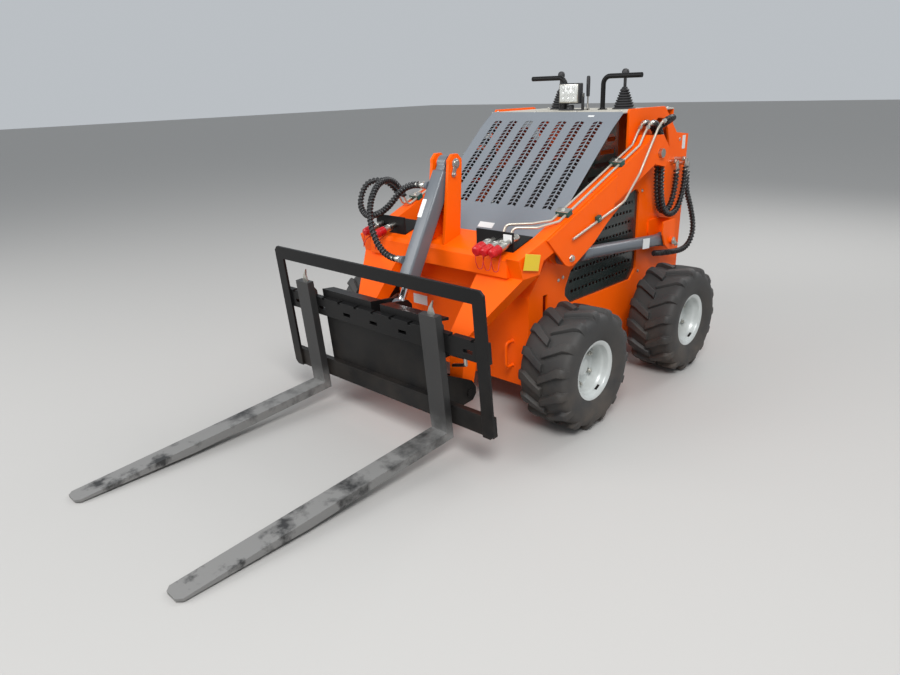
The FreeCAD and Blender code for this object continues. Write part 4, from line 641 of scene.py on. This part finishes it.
lift = {"side": 410, "base": (515, 560), "eye": (-288, 626), "rodStart": 300, "rodRadius": 13,
        "barrel": [(27, 34), (29.5, 36), (29.5, 44), (27, 46), (27, 640), (30, 643), (30, 690), (27.5, 692), (17, 692),
                   (17, 690), (14, 690), (14, 640), (0, 640)],
        "baseEye": [(15, -19), (30, -19), (32, -17), (32, 17), (30, 19), (15, 19)],
        "rodEye": [(15, -19), (28, -19), (30, -17), (30, 17), (28, 19), (15, 19)],
        "neck": (30, 38, 30), "neckPlace": 24, "label": (0.8, 46, 60), "labelPlace": (27, 0, 200)}
for side, sign in (("left", 1), ("right", -1)):
    base, eye = spot(sign * lift["side"], *lift["base"]), spot(sign * lift["side"], *lift["eye"])
    along, reach = facing(base, eye - base), (eye - base).length * 1000
    out, over, far = lift["labelPlace"]
    assembled(f"{side}_lift_barrelSteel", f"{side}_lift_barrel_body", [
        (turned(lift["barrel"], 48), along, "cylinderPaint"),
        (turned(lift["baseEye"], 40, closed=True), facing(base, crossways), "cylinderPaint"),
        (block(lift["neck"], 4), along @ moved(0, 0, lift["neckPlace"]), "cylinderPaint"),
        (block(lift["label"], 0.3, 1), along @ moved(sign * out, over, far), "labelWhite"),
    ], [f"{side}_lift_barrel"])
    thin = lift["rodRadius"]
    assembled(f"{side}_lift_rodSteel", f"{side}_lift_rod_body", [
        (turned([(0, lift["rodStart"]), (thin, lift["rodStart"]), (thin, reach - 28), (thin - 2, reach - 24),
                 (0, reach - 24)], 40), along, "chromeRod"),
        (turned(lift["rodEye"], 40, closed=True), facing(eye, crossways), "cylinderPaint")], [f"{side}_lift_rod"])

tilt = {"pin": (0, -507, 987), "eye": (0, -790, 470), "rodStart": 300, "rodRadius": 15,
        "rodEye": [(14, -22), (28, -22), (30, -20), (30, 20), (28, 22), (14, 22)],
        "pinEye": [(14, -22), (29, -22), (30, -21), (30, 21), (29, 22), (14, 22)],
        "gland": [(15.2, 0), (24, 0), (24, 7), (20, 9), (15.2, 9)], "glandPlace": 479.5,
        "barrel": (62, 62, 440), "barrelPlace": 259, "neck": (44, 50, 70), "neckPlace": 35,
        "label": (22, 0.8, 74), "labelPin": (-17, -507, 987), "labelPlace": (0, -31.2, -200)}
pin, eye = spot(*tilt["pin"]), spot(*tilt["eye"])
along, reach = facing(pin, eye - pin), (eye - pin).length * 1000
lean = spun(-math.atan2(tilt["pin"][1] - tilt["eye"][1], tilt["pin"][2] - tilt["eye"][2]), "X")
thin = tilt["rodRadius"]
assembled("tilt_rodSteel", "tilt_rod_body", [
    (turned([(0, tilt["rodStart"]), (thin, tilt["rodStart"]), (thin, reach - 26), (thin - 3, reach - 22),
             (0, reach - 22)], 40), along, "chromeRod"),
    (turned(tilt["rodEye"], 40, closed=True), facing(eye, crossways), "cylinderPaint")], ["tilt_rod"])
assembled("tiltBarrelSteel", "tilt_barrel_body", [
    (block(tilt["barrel"], 9, 4), along @ moved(0, 0, tilt["barrelPlace"]), "cylinderPaint"),
    (block(tilt["neck"], 6, 3), along @ moved(0, 0, tilt["neckPlace"]), "cylinderPaint"),
    (turned(tilt["pinEye"], 40, closed=True), facing(pin, crossways), "cylinderPaint"),
    (block(tilt["label"], 0.3, 1), at(*tilt["labelPin"]) @ lean @ moved(*tilt["labelPlace"]), "labelWhite"),
    (turned(tilt["gland"], 40, closed=True), along @ moved(0, 0, tilt["glandPlace"]), "zincPlate")], ["tilt_barrel"])
print("cylinders done")


# hoses, each a spline through its route's points, in a spiral guard

hoseSizes = {"radius": 0.009, "steps": 14, "guardPitch": 0.016, "guardRadius": 0.0093, "guardStrip": 0.0052}
routes = {
    "tailInner": [(392, 315, 1094), (399, 441, 1094), (401, 441, 690), (404, 622, 690), (404, 622, 872.6)],
    "tailOuter": [(426, 319, 1094), (421, 441, 1094), (423, 441, 675), (426, 665, 675), (426, 665, 882.4)],
    "liftBase": [(410, 439, 506), (411, 600, 480), (424, 752, 476), (430, 803, 560), (424, 752, 690), (414, 710, 770),
                 (414, 710, 857.6)],
    "side": [(457, 385.5, 1103.1), (457, 480, 1120.5), (380, 520, 1078), (205, 540, 985), (205, 540, 900.3)],
    "tiltUpper": [(77.6, -575, 905), (165, -575, 905), (255, -598, 800), (345, -600, 760), (440, -575, 750),
                  (495, -555, 800), (485, -510, 893), (426, -416, 880.6), (426, -380.3, 812.5)],
    "tiltLower": [(77.6, -728, 637), (165, -728, 637), (270, -700, 790), (335, -580, 905), (392, -422.4, 892),
                  (392, -380.3, 812.5)],
}
hoses = [   # node, route, side, the bodies it bends between, and where the bend starts and ends
    ("left_tail_hose_inner", "tailInner", 1, ("lift_arm", "chassis"), (0, 460, 690), (0, 610, 690)),
    ("left_tail_hose_outer", "tailOuter", 1, ("lift_arm", "chassis"), (0, 460, 690), (0, 640, 690)),
    ("right_tail_hose_inner", "tailInner", -1, ("lift_arm", "chassis"), (0, 460, 690), (0, 610, 690)),
    ("right_tail_hose_outer", "tailOuter", -1, ("lift_arm", "chassis"), (0, 460, 690), (0, 640, 690)),
    ("left_lift_hose", "liftBase", 1, ("left_lift_barrel_body", "chassis"), (0, 450, 480), (0, 640, 480)),
    ("right_lift_hose", "liftBase", -1, ("right_lift_barrel_body", "chassis"), (0, 450, 480), (0, 640, 480)),
    ("left_side_hose", "side", 1, ("lift_arm", "chassis"), (440, 500, 1000), (240, 500, 1000)),
    ("tilt_hose_upper", "tiltUpper", -1, ("tilt_barrel_body", "lift_arm"), (-110, -600, 800), (-380, -600, 800)),
    ("tilt_hose_lower", "tiltLower", -1, ("tilt_barrel_body", "lift_arm"), (-110, -600, 800), (-360, -600, 800)),
]


def splineOf(points, radius=0):
    line, run = lineThrough(points, "NURBS")
    line.resolution_u = hoseSizes["steps"]
    run.order_u = 3
    run.use_endpoint_u = True
    if radius:
        line.bevel_depth = radius
        line.bevel_resolution = 3
        line.use_fill_caps = True
    return linked("hoseLine", line)


for node, route, sign, bodies, start, end in hoses:
    points = [spot(sign * x, y, z) for x, y, z in routes[route]]
    path = [tuple(vertex.co) for vertex in meshOf(splineOf(points)).vertices]
    skin = meshOf(splineOf(points, hoseSizes["radius"]))
    skin.materials.clear()
    skin.materials.append(materials["hoseRubber"])
    skin.shade_smooth()
    hose = linked(node + "Rubber", skin)
    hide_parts(node)
    along = sum((Vector(b) - Vector(a)).length for a, b in zip(path, path[1:]))
    guard = linked(node + "Guard", grown(splineOf(points), spiralTree, "guardPlastic", {
        "Pitch": hoseSizes["guardPitch"], "Radius": hoseSizes["guardRadius"], "Strip": hoseSizes["guardStrip"]}))
    for piece in (hose, guard):
        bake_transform(piece)
print("hoses done")


# crimped fittings at the hoses' ends, and the clamps on the arms

fitting = {"ferrule": [(9.4, 0), (10.6, 1), (10.6, 9), (9.9, 10), (9.9, 12), (10.6, 13), (10.6, 22), (9.2, 24),
                       (0, 24)],
           "swivel": [(0, 0), (8.5, 0), (9.5, 1), (9.5, 12), (8.5, 13), (0, 13)],
           "port": [(0, -9), (9.6, -9), (11, -7), (11, 7), (9.6, 9), (0, 9)],
           "tail": [(392, 315), (426, 319)], "tailHeight": 1094, "ferruleBack": 4, "swivelBack": 18,
           "tower": [(404, 622, 872.6), (426, 665, 882.4), (414, 710, 857.6)],
           "ports": [(404, 622, 905), (426, 665, 915), (414, 710, 890)], "portInset": 14}
ferrule, swivel, port = turned(fitting["ferrule"], 24), turned(fitting["swivel"], 6), turned(fitting["port"], 6)
atTail, atTower = [], []
for sign in (-1, 1):
    for x, y in fitting["tail"]:
        for part, back in ((ferrule, fitting["ferruleBack"]), (swivel, fitting["swivelBack"])):
            atTail.append((part, facing(spot(sign * x, y - back, fitting["tailHeight"]), -ahead), "zincPlate"))
    for x, y, z in fitting["tower"]:
        atTower += [(ferrule, facing(spot(sign * x, y, z - 24), up), "zincPlate"),
                    (swivel, facing(spot(sign * x, y, z), up), "zincPlate")]
    for x, y, z in fitting["ports"]:
        atTower.append((port, facing(spot(sign * (x - fitting["portInset"]), y, z), crossways), "zincPlate"))
assembled("tailFerrules", "lift_arm", atTail)
assembled("towerFerrules", "chassis", atTower)

clamp = {"side": 409, "places": (-290, 80), "body": (58, 32, 25), "cover": (59, 31, 3), "coverSeat": 12.8,
         "boltSeat": 14.3}
clampRows = []
for sign in (-1, 1):
    for y in clamp["places"]:
        seat = at(sign * clamp["side"], y, onArm(y)) @ spun(math.atan(arm["rise"]), "X")
        clampRows += [(block(clamp["body"], 3), seat, "clampPlastic"),
                      (block(clamp["cover"], 1), seat @ moved(0, 0, clamp["coverSeat"]), "zincPlate"),
                      (hexHead(13, 6, 17), seat @ moved(0, 0, clamp["boltSeat"]), "zincPlate")]
assembled("tubeClamps", "lift_arm", clampRows)


# quick couplers with ribbed caps on straps, and the fittings of the tilt hoses

couplers = {   # the sleeve's and the cap's radii are shares of the coupler's own
    "rows": [(285, 44), (322, 36), (360, 36), (-265, 36), (-340, 36)], "stand": -560, "height": 725.3,
    "droop": math.radians(14), "spigot": [(0, -50), (10.5, -50), (10.5, -16), (11, -14), (11, 22)],
    "sleeve": [(0.8, 24), (0.8, 30), (0.86, 32), (0.86, 36), (0.78, 37), (0.78, 40), (0.86, 41), (0.86, 58), (0, 58)],
    "nuts": [[(0, -46), (13.4, -46), (14.4, -44), (14.4, -30), (13.4, -28), (0, -28)],
             [(0, -12), (14.4, -12), (15.4, -11), (15.4, -6), (14.4, -5), (0, -5)]],
    "mouth": [(0, 61), (0.97, 61)], "rib": [(0.99, 63), (0.99, 65.2), (0.93, 65.6), (0.93, 66.8)], "ribs": 7,
    "ribPitch": 4.2, "end": [(0.96, 94), (0.86, 104), (0.6, 108), (0, 108)], "tip": 0.107, "collar": 0.058,
    "collarSide": 6, "collarDrop": 1, "sway": 12, "strapRadius": 0.0016, "strapBend": 0.008,
    "strap": [(0, 0, -8), (0.4, -3, -36), (1, 2, -62), (2, 10, -62), (1.6, 22, -34)]}   # across in shares of the sway


def widened(profile, radius):
    return [(radius * share, height) for share, height in profile]


down = Vector((0, -math.cos(couplers["droop"]), -math.sin(couplers["droop"])))
ribs = [(share, height + k * couplers["ribPitch"]) for k in range(couplers["ribs"]) for share, height in couplers["rib"]]
couplerRows, capRows = [], []
for x, wide in couplers["rows"]:
    radius = wide / 2
    foot, besideFoot = (spot(x + over, couplers["stand"], couplers["height"]) for over in (0, couplers["collarSide"]))
    seat = facing(foot, down)
    couplerRows.append((turned(couplers["spigot"] + widened(couplers["sleeve"], radius), 32), seat, "zincPlate"))
    couplerRows += [(turned(nut, 6), seat, "zincPlate") for nut in couplers["nuts"]]
    capRows.append((turned(widened(couplers["mouth"] + ribs + couplers["end"], radius), 40), seat, "capPlastic"))
    sway, tip = math.copysign(couplers["sway"], x), foot + down * couplers["tip"]
    collar = besideFoot + down * couplers["collar"] + metres(0, 0, -radius - couplers["collarDrop"])
    capRows.append(bent([tip + metres(share * sway, y, z) for share, y, z in couplers["strap"]] + [collar],
                        couplers["strapRadius"], couplers["strapBend"], "capPlastic", 8))
assembled("couplerBodies", "lift_arm", couplerRows, ["couplers"])
assembled("couplerCaps", "lift_arm", capRows, ["dust_caps"])

tiltPorts = {"side": -30, "places": [(-575, 905), (-728, 637)],
             "boss": [(0, 0), (17, 0), (16, 4), (15, 15), (0, 16)],
             "nut": [(0, 15), (12.6, 15), (13.6, 16), (13.6, 24), (12.6, 25), (0, 25)],
             "ball": [(0, 24), (9, 24), (13.2, 28), (14.4, 34), (13.2, 40), (9, 44), (0, 45)],
             "crimp": [(0, 43), (10.4, 43), (10.4, 50), (9.8, 51), (9.8, 54), (10.9, 55), (10.9, 76), (9.6, 78), (0, 78)]}
assembled("tiltPortFittings", "tilt_barrel_body", [
    (turned(tiltPorts[part], sides), facing(spot(tiltPorts["side"], y, z), -crossways), finish)
    for y, z in tiltPorts["places"]
    for part, sides, finish in (("boss", 32, "cylinderPaint"), ("nut", 6, "zincPlate"), ("ball", 28, "zincPlate"),
                                ("crimp", 28, "zincPlate"))], ["tilt_ports"])
print("couplers done")


# pins held by flag plates, bolts and blank labels

flag = {"plate": 3.6, "edge": 3, "width": 20, "end": 11, "stub": 8, "stubShare": 0.62, "stubTop": 0.55,
        "bar": 3.4, "barSeat": 1.8, "bolt": (13, 9, 17),
        "tilt": {"pin": (51.2, -507, 987), "turn": -0.35, "reach": 42, "radius": 20},
        "lift": {"pin": (465.2, 515, 560), "turns": {1: 0.9, -1: 2.2}, "reach": 30, "radius": 17}}
screws = {"armSide": 448, "armPin": (-288, 626), "armBolt": (24, 10, 32), "armTurn": 0.3, "bodySide": 370,
          "body": [(-262, 520), (-232, 526), (372, 800), (372, 430), (-205, 640), (700, 300), (700, 1000)],
          "bodyTurn": 0.2, "across": (-335, -112, 112, 335), "along": (212, 622), "topTurn": 0.1,
          "domed": [(7.5, 0), (7.5, 1.2), (5.8, 1.4), (5.4, 3.6), (3.4, 5), (0, 5.2)]}
labelPlaces = {"nose": (-236, -456.3, 377), "flank": (370.3, 742, 985), "arm": (448.3, -539, 658), "armTurn": -0.22,
               "armUpright": ((0, 0, 1, 0), (1, 0, 0, 0), (0, 1, 0, 0), (0, 0, 0, 1)), "armNose": (352, -560.4, 738)}
consoleTop = 1145


def flagPin(seat, reach, radius):
    plate, stub = flag["plate"], flag["stub"]
    return [(turned([(0, 0), (radius, 0), (radius, flag["edge"]), (radius - 1, plate), (0, plate)], 40), seat, "zincPlate"),
            (turned([(0, 3)] + widened([(flag["stubShare"], 3), (flag["stubShare"], 7), (flag["stubTop"], stub)], radius)
                    + [(0, stub)], 32), seat, "zincPlate"),
            (block((reach, flag["width"], flag["bar"]), 0.8), seat @ moved(reach / 2, 0, flag["barSeat"]), "zincPlate"),
            (turned([(0, 0), (flag["end"], 0), (flag["end"], flag["bar"]), (flag["end"] - 1, plate), (0, plate)], 28),
             seat @ moved(reach, 0, 0), "zincPlate"),
            (hexHead(*flag["bolt"]), seat @ moved(reach, 0, flag["bar"]), "zincPlate")]


assembled("tiltPinFlag", "lift_arm", flagPin(
    facing(spot(*flag["tilt"]["pin"]), crossways) @ spun(flag["tilt"]["turn"]), flag["tilt"]["reach"],
    flag["tilt"]["radius"]))
liftFlags, armBolts, bodyBolts = [], [], []
for sign in (-1, 1):
    x, y, z = flag["lift"]["pin"]
    liftFlags += flagPin(facing(spot(sign * x, y, z), sign * crossways) @ spun(flag["lift"]["turns"][sign]),
                         flag["lift"]["reach"], flag["lift"]["radius"])
    armBolts.append((spot(sign * screws["armSide"], *screws["armPin"]), sign * crossways, screws["armTurn"]))
    bodyBolts += [(spot(sign * screws["bodySide"], y, z), sign * crossways, screws["bodyTurn"])
                  for y, z in screws["body"]]
bodyBolts += [(spot(x, y, consoleTop), up, screws["topTurn"]) for x in screws["across"] for y in screws["along"]]
assembled("liftPinFlags", "chassis", liftFlags)
assembled("armPinBolts", "lift_arm", [
    (scattered(hexHead(*screws["armBolt"]), "zincPlate", armBolts), still, "zincPlate")])
assembled("bodyScrews", "chassis", [
    (scattered(turned(screws["domed"], 20), "zincPlate", bodyBolts), still, "zincPlate")])
assembled("plainLabels", "chassis", [
    (label(88, 44), facing(spot(*labelPlaces["nose"]), ahead), "labelWhite"),
    (label(30, 62), facing(spot(*labelPlaces["flank"]), crossways) @ spun(math.pi / 2), "labelWhite")])
assembled("armLabels", "lift_arm", [
    (label(92, 60), at(*labelPlaces["arm"]) @ spun(labelPlaces["armTurn"], "X") @ Matrix(labelPlaces["armUpright"]),
     "labelYellow"),
    (label(40, 30), facing(spot(*labelPlaces["armNose"]), ahead), "labelWhite")])
print("fasteners done")


# controls on the console, its lamp, and the handles on the nose

stick = {"side": 177, "back": 508, "foot": [(53, 0), (53, 4), (47, 6)], "folds": 7, "foldPitch": 11, "taper": 4.1,
         "fold": [(41, 10), (45.8, 14), (45.8, 18)],
         "neck": [(14, 90), (12, 96), (7, 97), (7, 140), (8, 142), (0, 142)],
         "knob": [(0, 140), (9, 140), (13, 144), (16.4, 152), (17, 159), (16, 166), (12, 172.5), (6, 175.4), (0, 176)]}
rail = {"post": 105, "back": 440, "top": 1290, "end": 300, "radius": 0.011, "bend": 0.034, "sides": 28,
        "foot": [(22, 0), (22, 4), (13, 5), (12, 9), (0, 9)]}
folds = [(width - k * stick["taper"], height + k * stick["foldPitch"])
         for k in range(stick["folds"]) for width, height in stick["fold"]]
boot, knob = turned(stick["foot"] + folds + stick["neck"], 44), turned(stick["knob"], 36)
railFoot = turned(rail["foot"], 32)
controlRows, railRows = [], []
for sign in (-1, 1):
    seat = facing(spot(sign * stick["side"], stick["back"], consoleTop), up)
    controlRows += [(boot, seat, "bootRubber"), (knob, seat, "bootRubber")]
    foot, corner, end = (spot(sign * x, rail["back"], z) for x, z in (
        (rail["post"], consoleTop), (rail["post"], rail["top"]), (rail["end"], rail["top"])))
    railRows += [bent([foot, corner, end], rail["radius"], rail["bend"], "blackSteel", rail["sides"]),
                 (railFoot, facing(foot, up), "blackSteel")]
assembled("controlSticks", "chassis", controlRows, ["joysticks"])
assembled("consoleRails", "chassis", railRows, ["hand_rails"])

lamp = {"place": (-12, 352, 1220), "foot": (0, 8, -72), "footPlate": (130, 26, 4),
        "post": [(12, 0), (12, 20), (9, 22), (0, 22)],
        "box": [((112, 34, 90), 4, 3, 0, "bootRubber"), ((104, 5, 82), 3, 2, -18, "zincPlate"),
                ((94, 3, 72), 2, 2, -20.5, "lampLens")],   # size, ease, steps, place along Y and finish
        "fin": (3.2, 14, 78), "fins": 9, "finStart": -44, "finPitch": 11, "finBack": 22.5,
        "cheek": (4, 22, 74), "cheekPlace": (61, 8, -36), "bolt": (14, 5), "boltPlace": (59.5, 8, -8),
        "led": [(11.4, 0), (11.4, 2.4), (9.4, 1.2), (6, 2.8), (0, 3.4)], "ledFront": -20.5, "ledAcross": (-29, 0, 29),
        "ledUp": (-24, 0, 24)}
centre = at(*lamp["place"])
lampRows = [(block(size, ease, steps), centre @ moved(0, y, 0), finish) for size, ease, steps, y, finish in lamp["box"]]
lampRows += [(block(lamp["footPlate"], 1.2), centre @ moved(*lamp["foot"]), "bootRubber"),
             (turned(lamp["post"], 24), centre @ moved(*lamp["foot"]), "bootRubber")]
lampRows += [(block(lamp["fin"], 1), centre @ moved(lamp["finStart"] + k * lamp["finPitch"], lamp["finBack"], 0),
              "bootRubber") for k in range(lamp["fins"])]
for part, key, finish in ((block(lamp["cheek"], 1.2), "cheekPlace", "bootRubber"),
                          (hexHead(*lamp["bolt"]), "boltPlace", "zincPlate")):
    for side in (-1, 1):
        over, y, z = lamp[key]
        place = (centre @ moved(side * over, y, z)).translation
        lampRows.append((part, facing(place, side * crossways) if key == "boltPlace" else Matrix.Translation(place), finish))
lampRows.append((scattered(turned(lamp["led"], 24), "lampLens", [
    ((centre @ moved(x, lamp["ledFront"], z)).translation, ahead, 0.0)
    for x in lamp["ledAcross"] for z in lamp["ledUp"]]), still, "lampLens"))
assembled("workLampUnit", "chassis", lampRows, ["work_lamp"])

throttle = {"place": (50, 400, consoleTop), "plate": (14, 17, 6), "plateSeat": 3.5,
            "grip": [(0, 60), (7.2, 60), (8, 63), (8.6, 90), (8.8, 130), (8, 146), (5.4, 149.5), (0, 150)],
            "stem": [(0, 0), (8.8, 0), (8.8, 3), (3.6, 5), (3.6, 62), (0, 62)]}
seat = at(*throttle["place"])
assembled("throttleHandle", "chassis", [
    (turned(throttle["grip"], 24), seat, "bootRubber"), (turned(throttle["stem"], 20), seat, "zincPlate"),
    (block(throttle["plate"], 1), seat @ moved(0, 0, throttle["plateSeat"]), "blackSteel")], ["throttle_lever"])

handle = {"side": 290, "collarSeat": -456, "collar": [(9, 0), (9, 1), (7, 2.6), (6, 3)], "heights": (299, 195),
          "path": [(-455, 299), (-498, 299), (-498, 195), (-455, 195)], "radius": 0.006, "bend": 0.016, "sides": 20}
handleRows = []
for sign in (-1, 1):
    handleRows += [(turned(handle["collar"], 20), facing(spot(sign * handle["side"], handle["collarSeat"], z), ahead),
                    "orangePaint") for z in handle["heights"]]
    handleRows.append(bent([spot(sign * handle["side"], y, z) for y, z in handle["path"]], handle["radius"],
                           handle["bend"], "orangePaint", handle["sides"]))
assembled("dHandles", "chassis", handleRows, ["nose_handles"])
print("controls done")


# the arms' steel lines with rounded bends and their swivel elbows

oilLines = {"radius": 0.005, "bend": 0.02, "join": -345, "rise": 225, "knee": (262, 1056), "top": 1094,
            "elbow": [(0, -13), (8.6, -13), (9.6, -12), (9.6, 2), (8.6, 3), (0, 3)], "elbowBack": 14, "elbowDrop": 14,
            "right": [(-380, 812), (-358, onArm(-358))],
            "pairs": [(392, 300, [(285, -511, 737.4), (285, -502, 739.6), (288, -490, 772), (350, -412, 770)]),
                      (426, 304, [(322, -511, 737.4), (322, -502, 739.6), (325, -492, 764), (385, -425, 760)])]}
sideLine = {"x": 457, "path": [(-295, 703), (49, 792), (75, 803), (184, 900), (316, 1071), (347, 1096), (385, 1103)],
            "bend": 0.03, "nut": [(0, -14), (8.6, -14), (9.6, -12), (9.6, 4), (8.6, 5), (0, 5)],
            "nutPlace": (372, 1101), "nutLean": (0, 1, 0.2), "clamp": (16, 26, 26), "clampPlace": (-121, 755),
            "clampTurn": 0.25, "bolt": (11, 5, 15), "boltSeat": 7.5}
lineRows = []
for x, turnY, start in oilLines["pairs"]:
    for sign in (1, -1):
        first = start + [(x, oilLines["join"], onArm(oilLines["join"]))] if sign > 0 \
            else [(x, y, z) for y, z in oilLines["right"]]
        route = first + [(x, oilLines["rise"], onArm(oilLines["rise"])), (x, *oilLines["knee"]),
                         (x, turnY, oilLines["top"]), (x, turnY + oilLines["elbowBack"], oilLines["top"])]
        elbow = spot(sign * x, turnY - oilLines["elbowBack"], oilLines["top"] - oilLines["elbowDrop"])
        lineRows += [bent([spot(sign * a, b, c) for a, b, c in route], oilLines["radius"], oilLines["bend"], "tubeSteel"),
                     (turned(oilLines["elbow"], 6), facing(elbow, up - ahead), "zincPlate")]
x = sideLine["x"]
lineRows += [
    bent([spot(x, y, z) for y, z in sideLine["path"]], oilLines["radius"], sideLine["bend"], "tubeSteel"),
    (turned(sideLine["nut"], 6), facing(spot(x, *sideLine["nutPlace"]), sideLine["nutLean"]), "zincPlate"),
    (block(sideLine["clamp"], 2), at(x, *sideLine["clampPlace"]) @ spun(sideLine["clampTurn"], "X"), "clampPlastic"),
    (hexHead(*sideLine["bolt"]), facing(spot(x + sideLine["boltSeat"], *sideLine["clampPlace"]), crossways), "zincPlate")]
assembled("armOilLines", "lift_arm", lineRows, ["arm_tubes"])


# narrow bars that break the side grilles' long openings into dashes

grille = {"rows": [(-160, 300, 40), (-170, 310, 85), (-160, 310, 130), (-90, 310, 175), (-10, 310, 220), (60, 310, 265),
                   (120, 310, 310), (190, 310, 350)], "side": 357, "middle": 408, "pitch": 27, "bar": (3.4, 11, 15)}
barSpots = [(spot(sign * grille["side"], front + k * grille["pitch"], grille["middle"] + over), up, 0.0)
            for front, back, over in grille["rows"]
            for k in range(1, int((back - front) / grille["pitch"]) + 1) for sign in (-1, 1)]
assembled("grilleBars", "chassis", [
    (scattered(block(grille["bar"], 0.5, 1), "grillePaint", barSpots), still, "grillePaint")])
print("lines and grilles done")


# stage, lights and camera

stage = {"floor": 40, "floorColor": (0.43, 0.42, 0.405, 1), "floorRough": 0.8, "sky": (0.9, 0.95, 1.0, 1),
         "skyStrength": 0.55}
floorMesh = bpy.data.meshes.new("studioFloor")
floorMesh.from_pydata([(x * stage["floor"], y * stage["floor"], 0) for x, y in ((-1, -1), (1, -1), (1, 1), (-1, 1))],
                      [], [(0, 1, 2, 3)])
floorMaterial = bpy.data.materials.new("floorPaint")
floorMaterial.use_nodes = True
floorShader = floorMaterial.node_tree.nodes["Principled BSDF"]
floorShader.inputs["Base Color"].default_value = stage["floorColor"]
floorShader.inputs["Roughness"].default_value = stage["floorRough"]
floorMesh.materials.append(floorMaterial)
linked("studioFloor", floorMesh)

world = bpy.data.worlds.new("studioWorld")
world.use_nodes = True
sky = world.node_tree.nodes["Background"]
sky.inputs["Color"].default_value = stage["sky"]
sky.inputs["Strength"].default_value = stage["skyStrength"]
scene.world = world


def areaLight(name, place, target, size, power):
    data = bpy.data.lights.new(name, "AREA")
    data.shape = "DISK"
    data.size = size
    data.energy = power
    light = linked(name, data)
    light.location = place
    light.rotation_mode = "QUATERNION"
    light.rotation_quaternion = (Vector(target) - Vector(place)).to_track_quat("-Z", "Y")


areaLight("keyLight", (3.2, -2.6, 4.8), (0, 0, 0.5), 2.6, 300)
areaLight("fillLight", (-3.2, -4.6, 3.2), (0, 0, 0.6), 4.0, 190)
areaLight("backLight", (0.5, 4.5, 4.0), (0, 0, 0.8), 3.0, 120)

view = {"lens": 28.0, "yaw": 0.7734, "pitch": 0.3424, "roll": -0.0341, "place": (1.9554, -1.9717, 1.2626)}
cameraData = bpy.data.cameras.new("photoCamera")
cameraData.lens = view["lens"]
camera = linked("photoCamera", cameraData)
yaw, pitch, roll = view["yaw"], view["pitch"], view["roll"]
forward = Vector((-math.sin(yaw) * math.cos(pitch), math.cos(yaw) * math.cos(pitch), -math.sin(pitch)))
level = Vector((math.cos(yaw), math.sin(yaw), 0.0))
above = level.cross(forward)
camera.rotation_mode = "QUATERNION"
camera.rotation_quaternion = Matrix((math.cos(roll) * level + math.sin(roll) * above,
                                     -math.sin(roll) * level + math.cos(roll) * above, -forward)).transposed().to_quaternion()
camera.location = view["place"]
scene.camera = camera
scene.view_settings.view_transform = "Standard"
print("stage done")
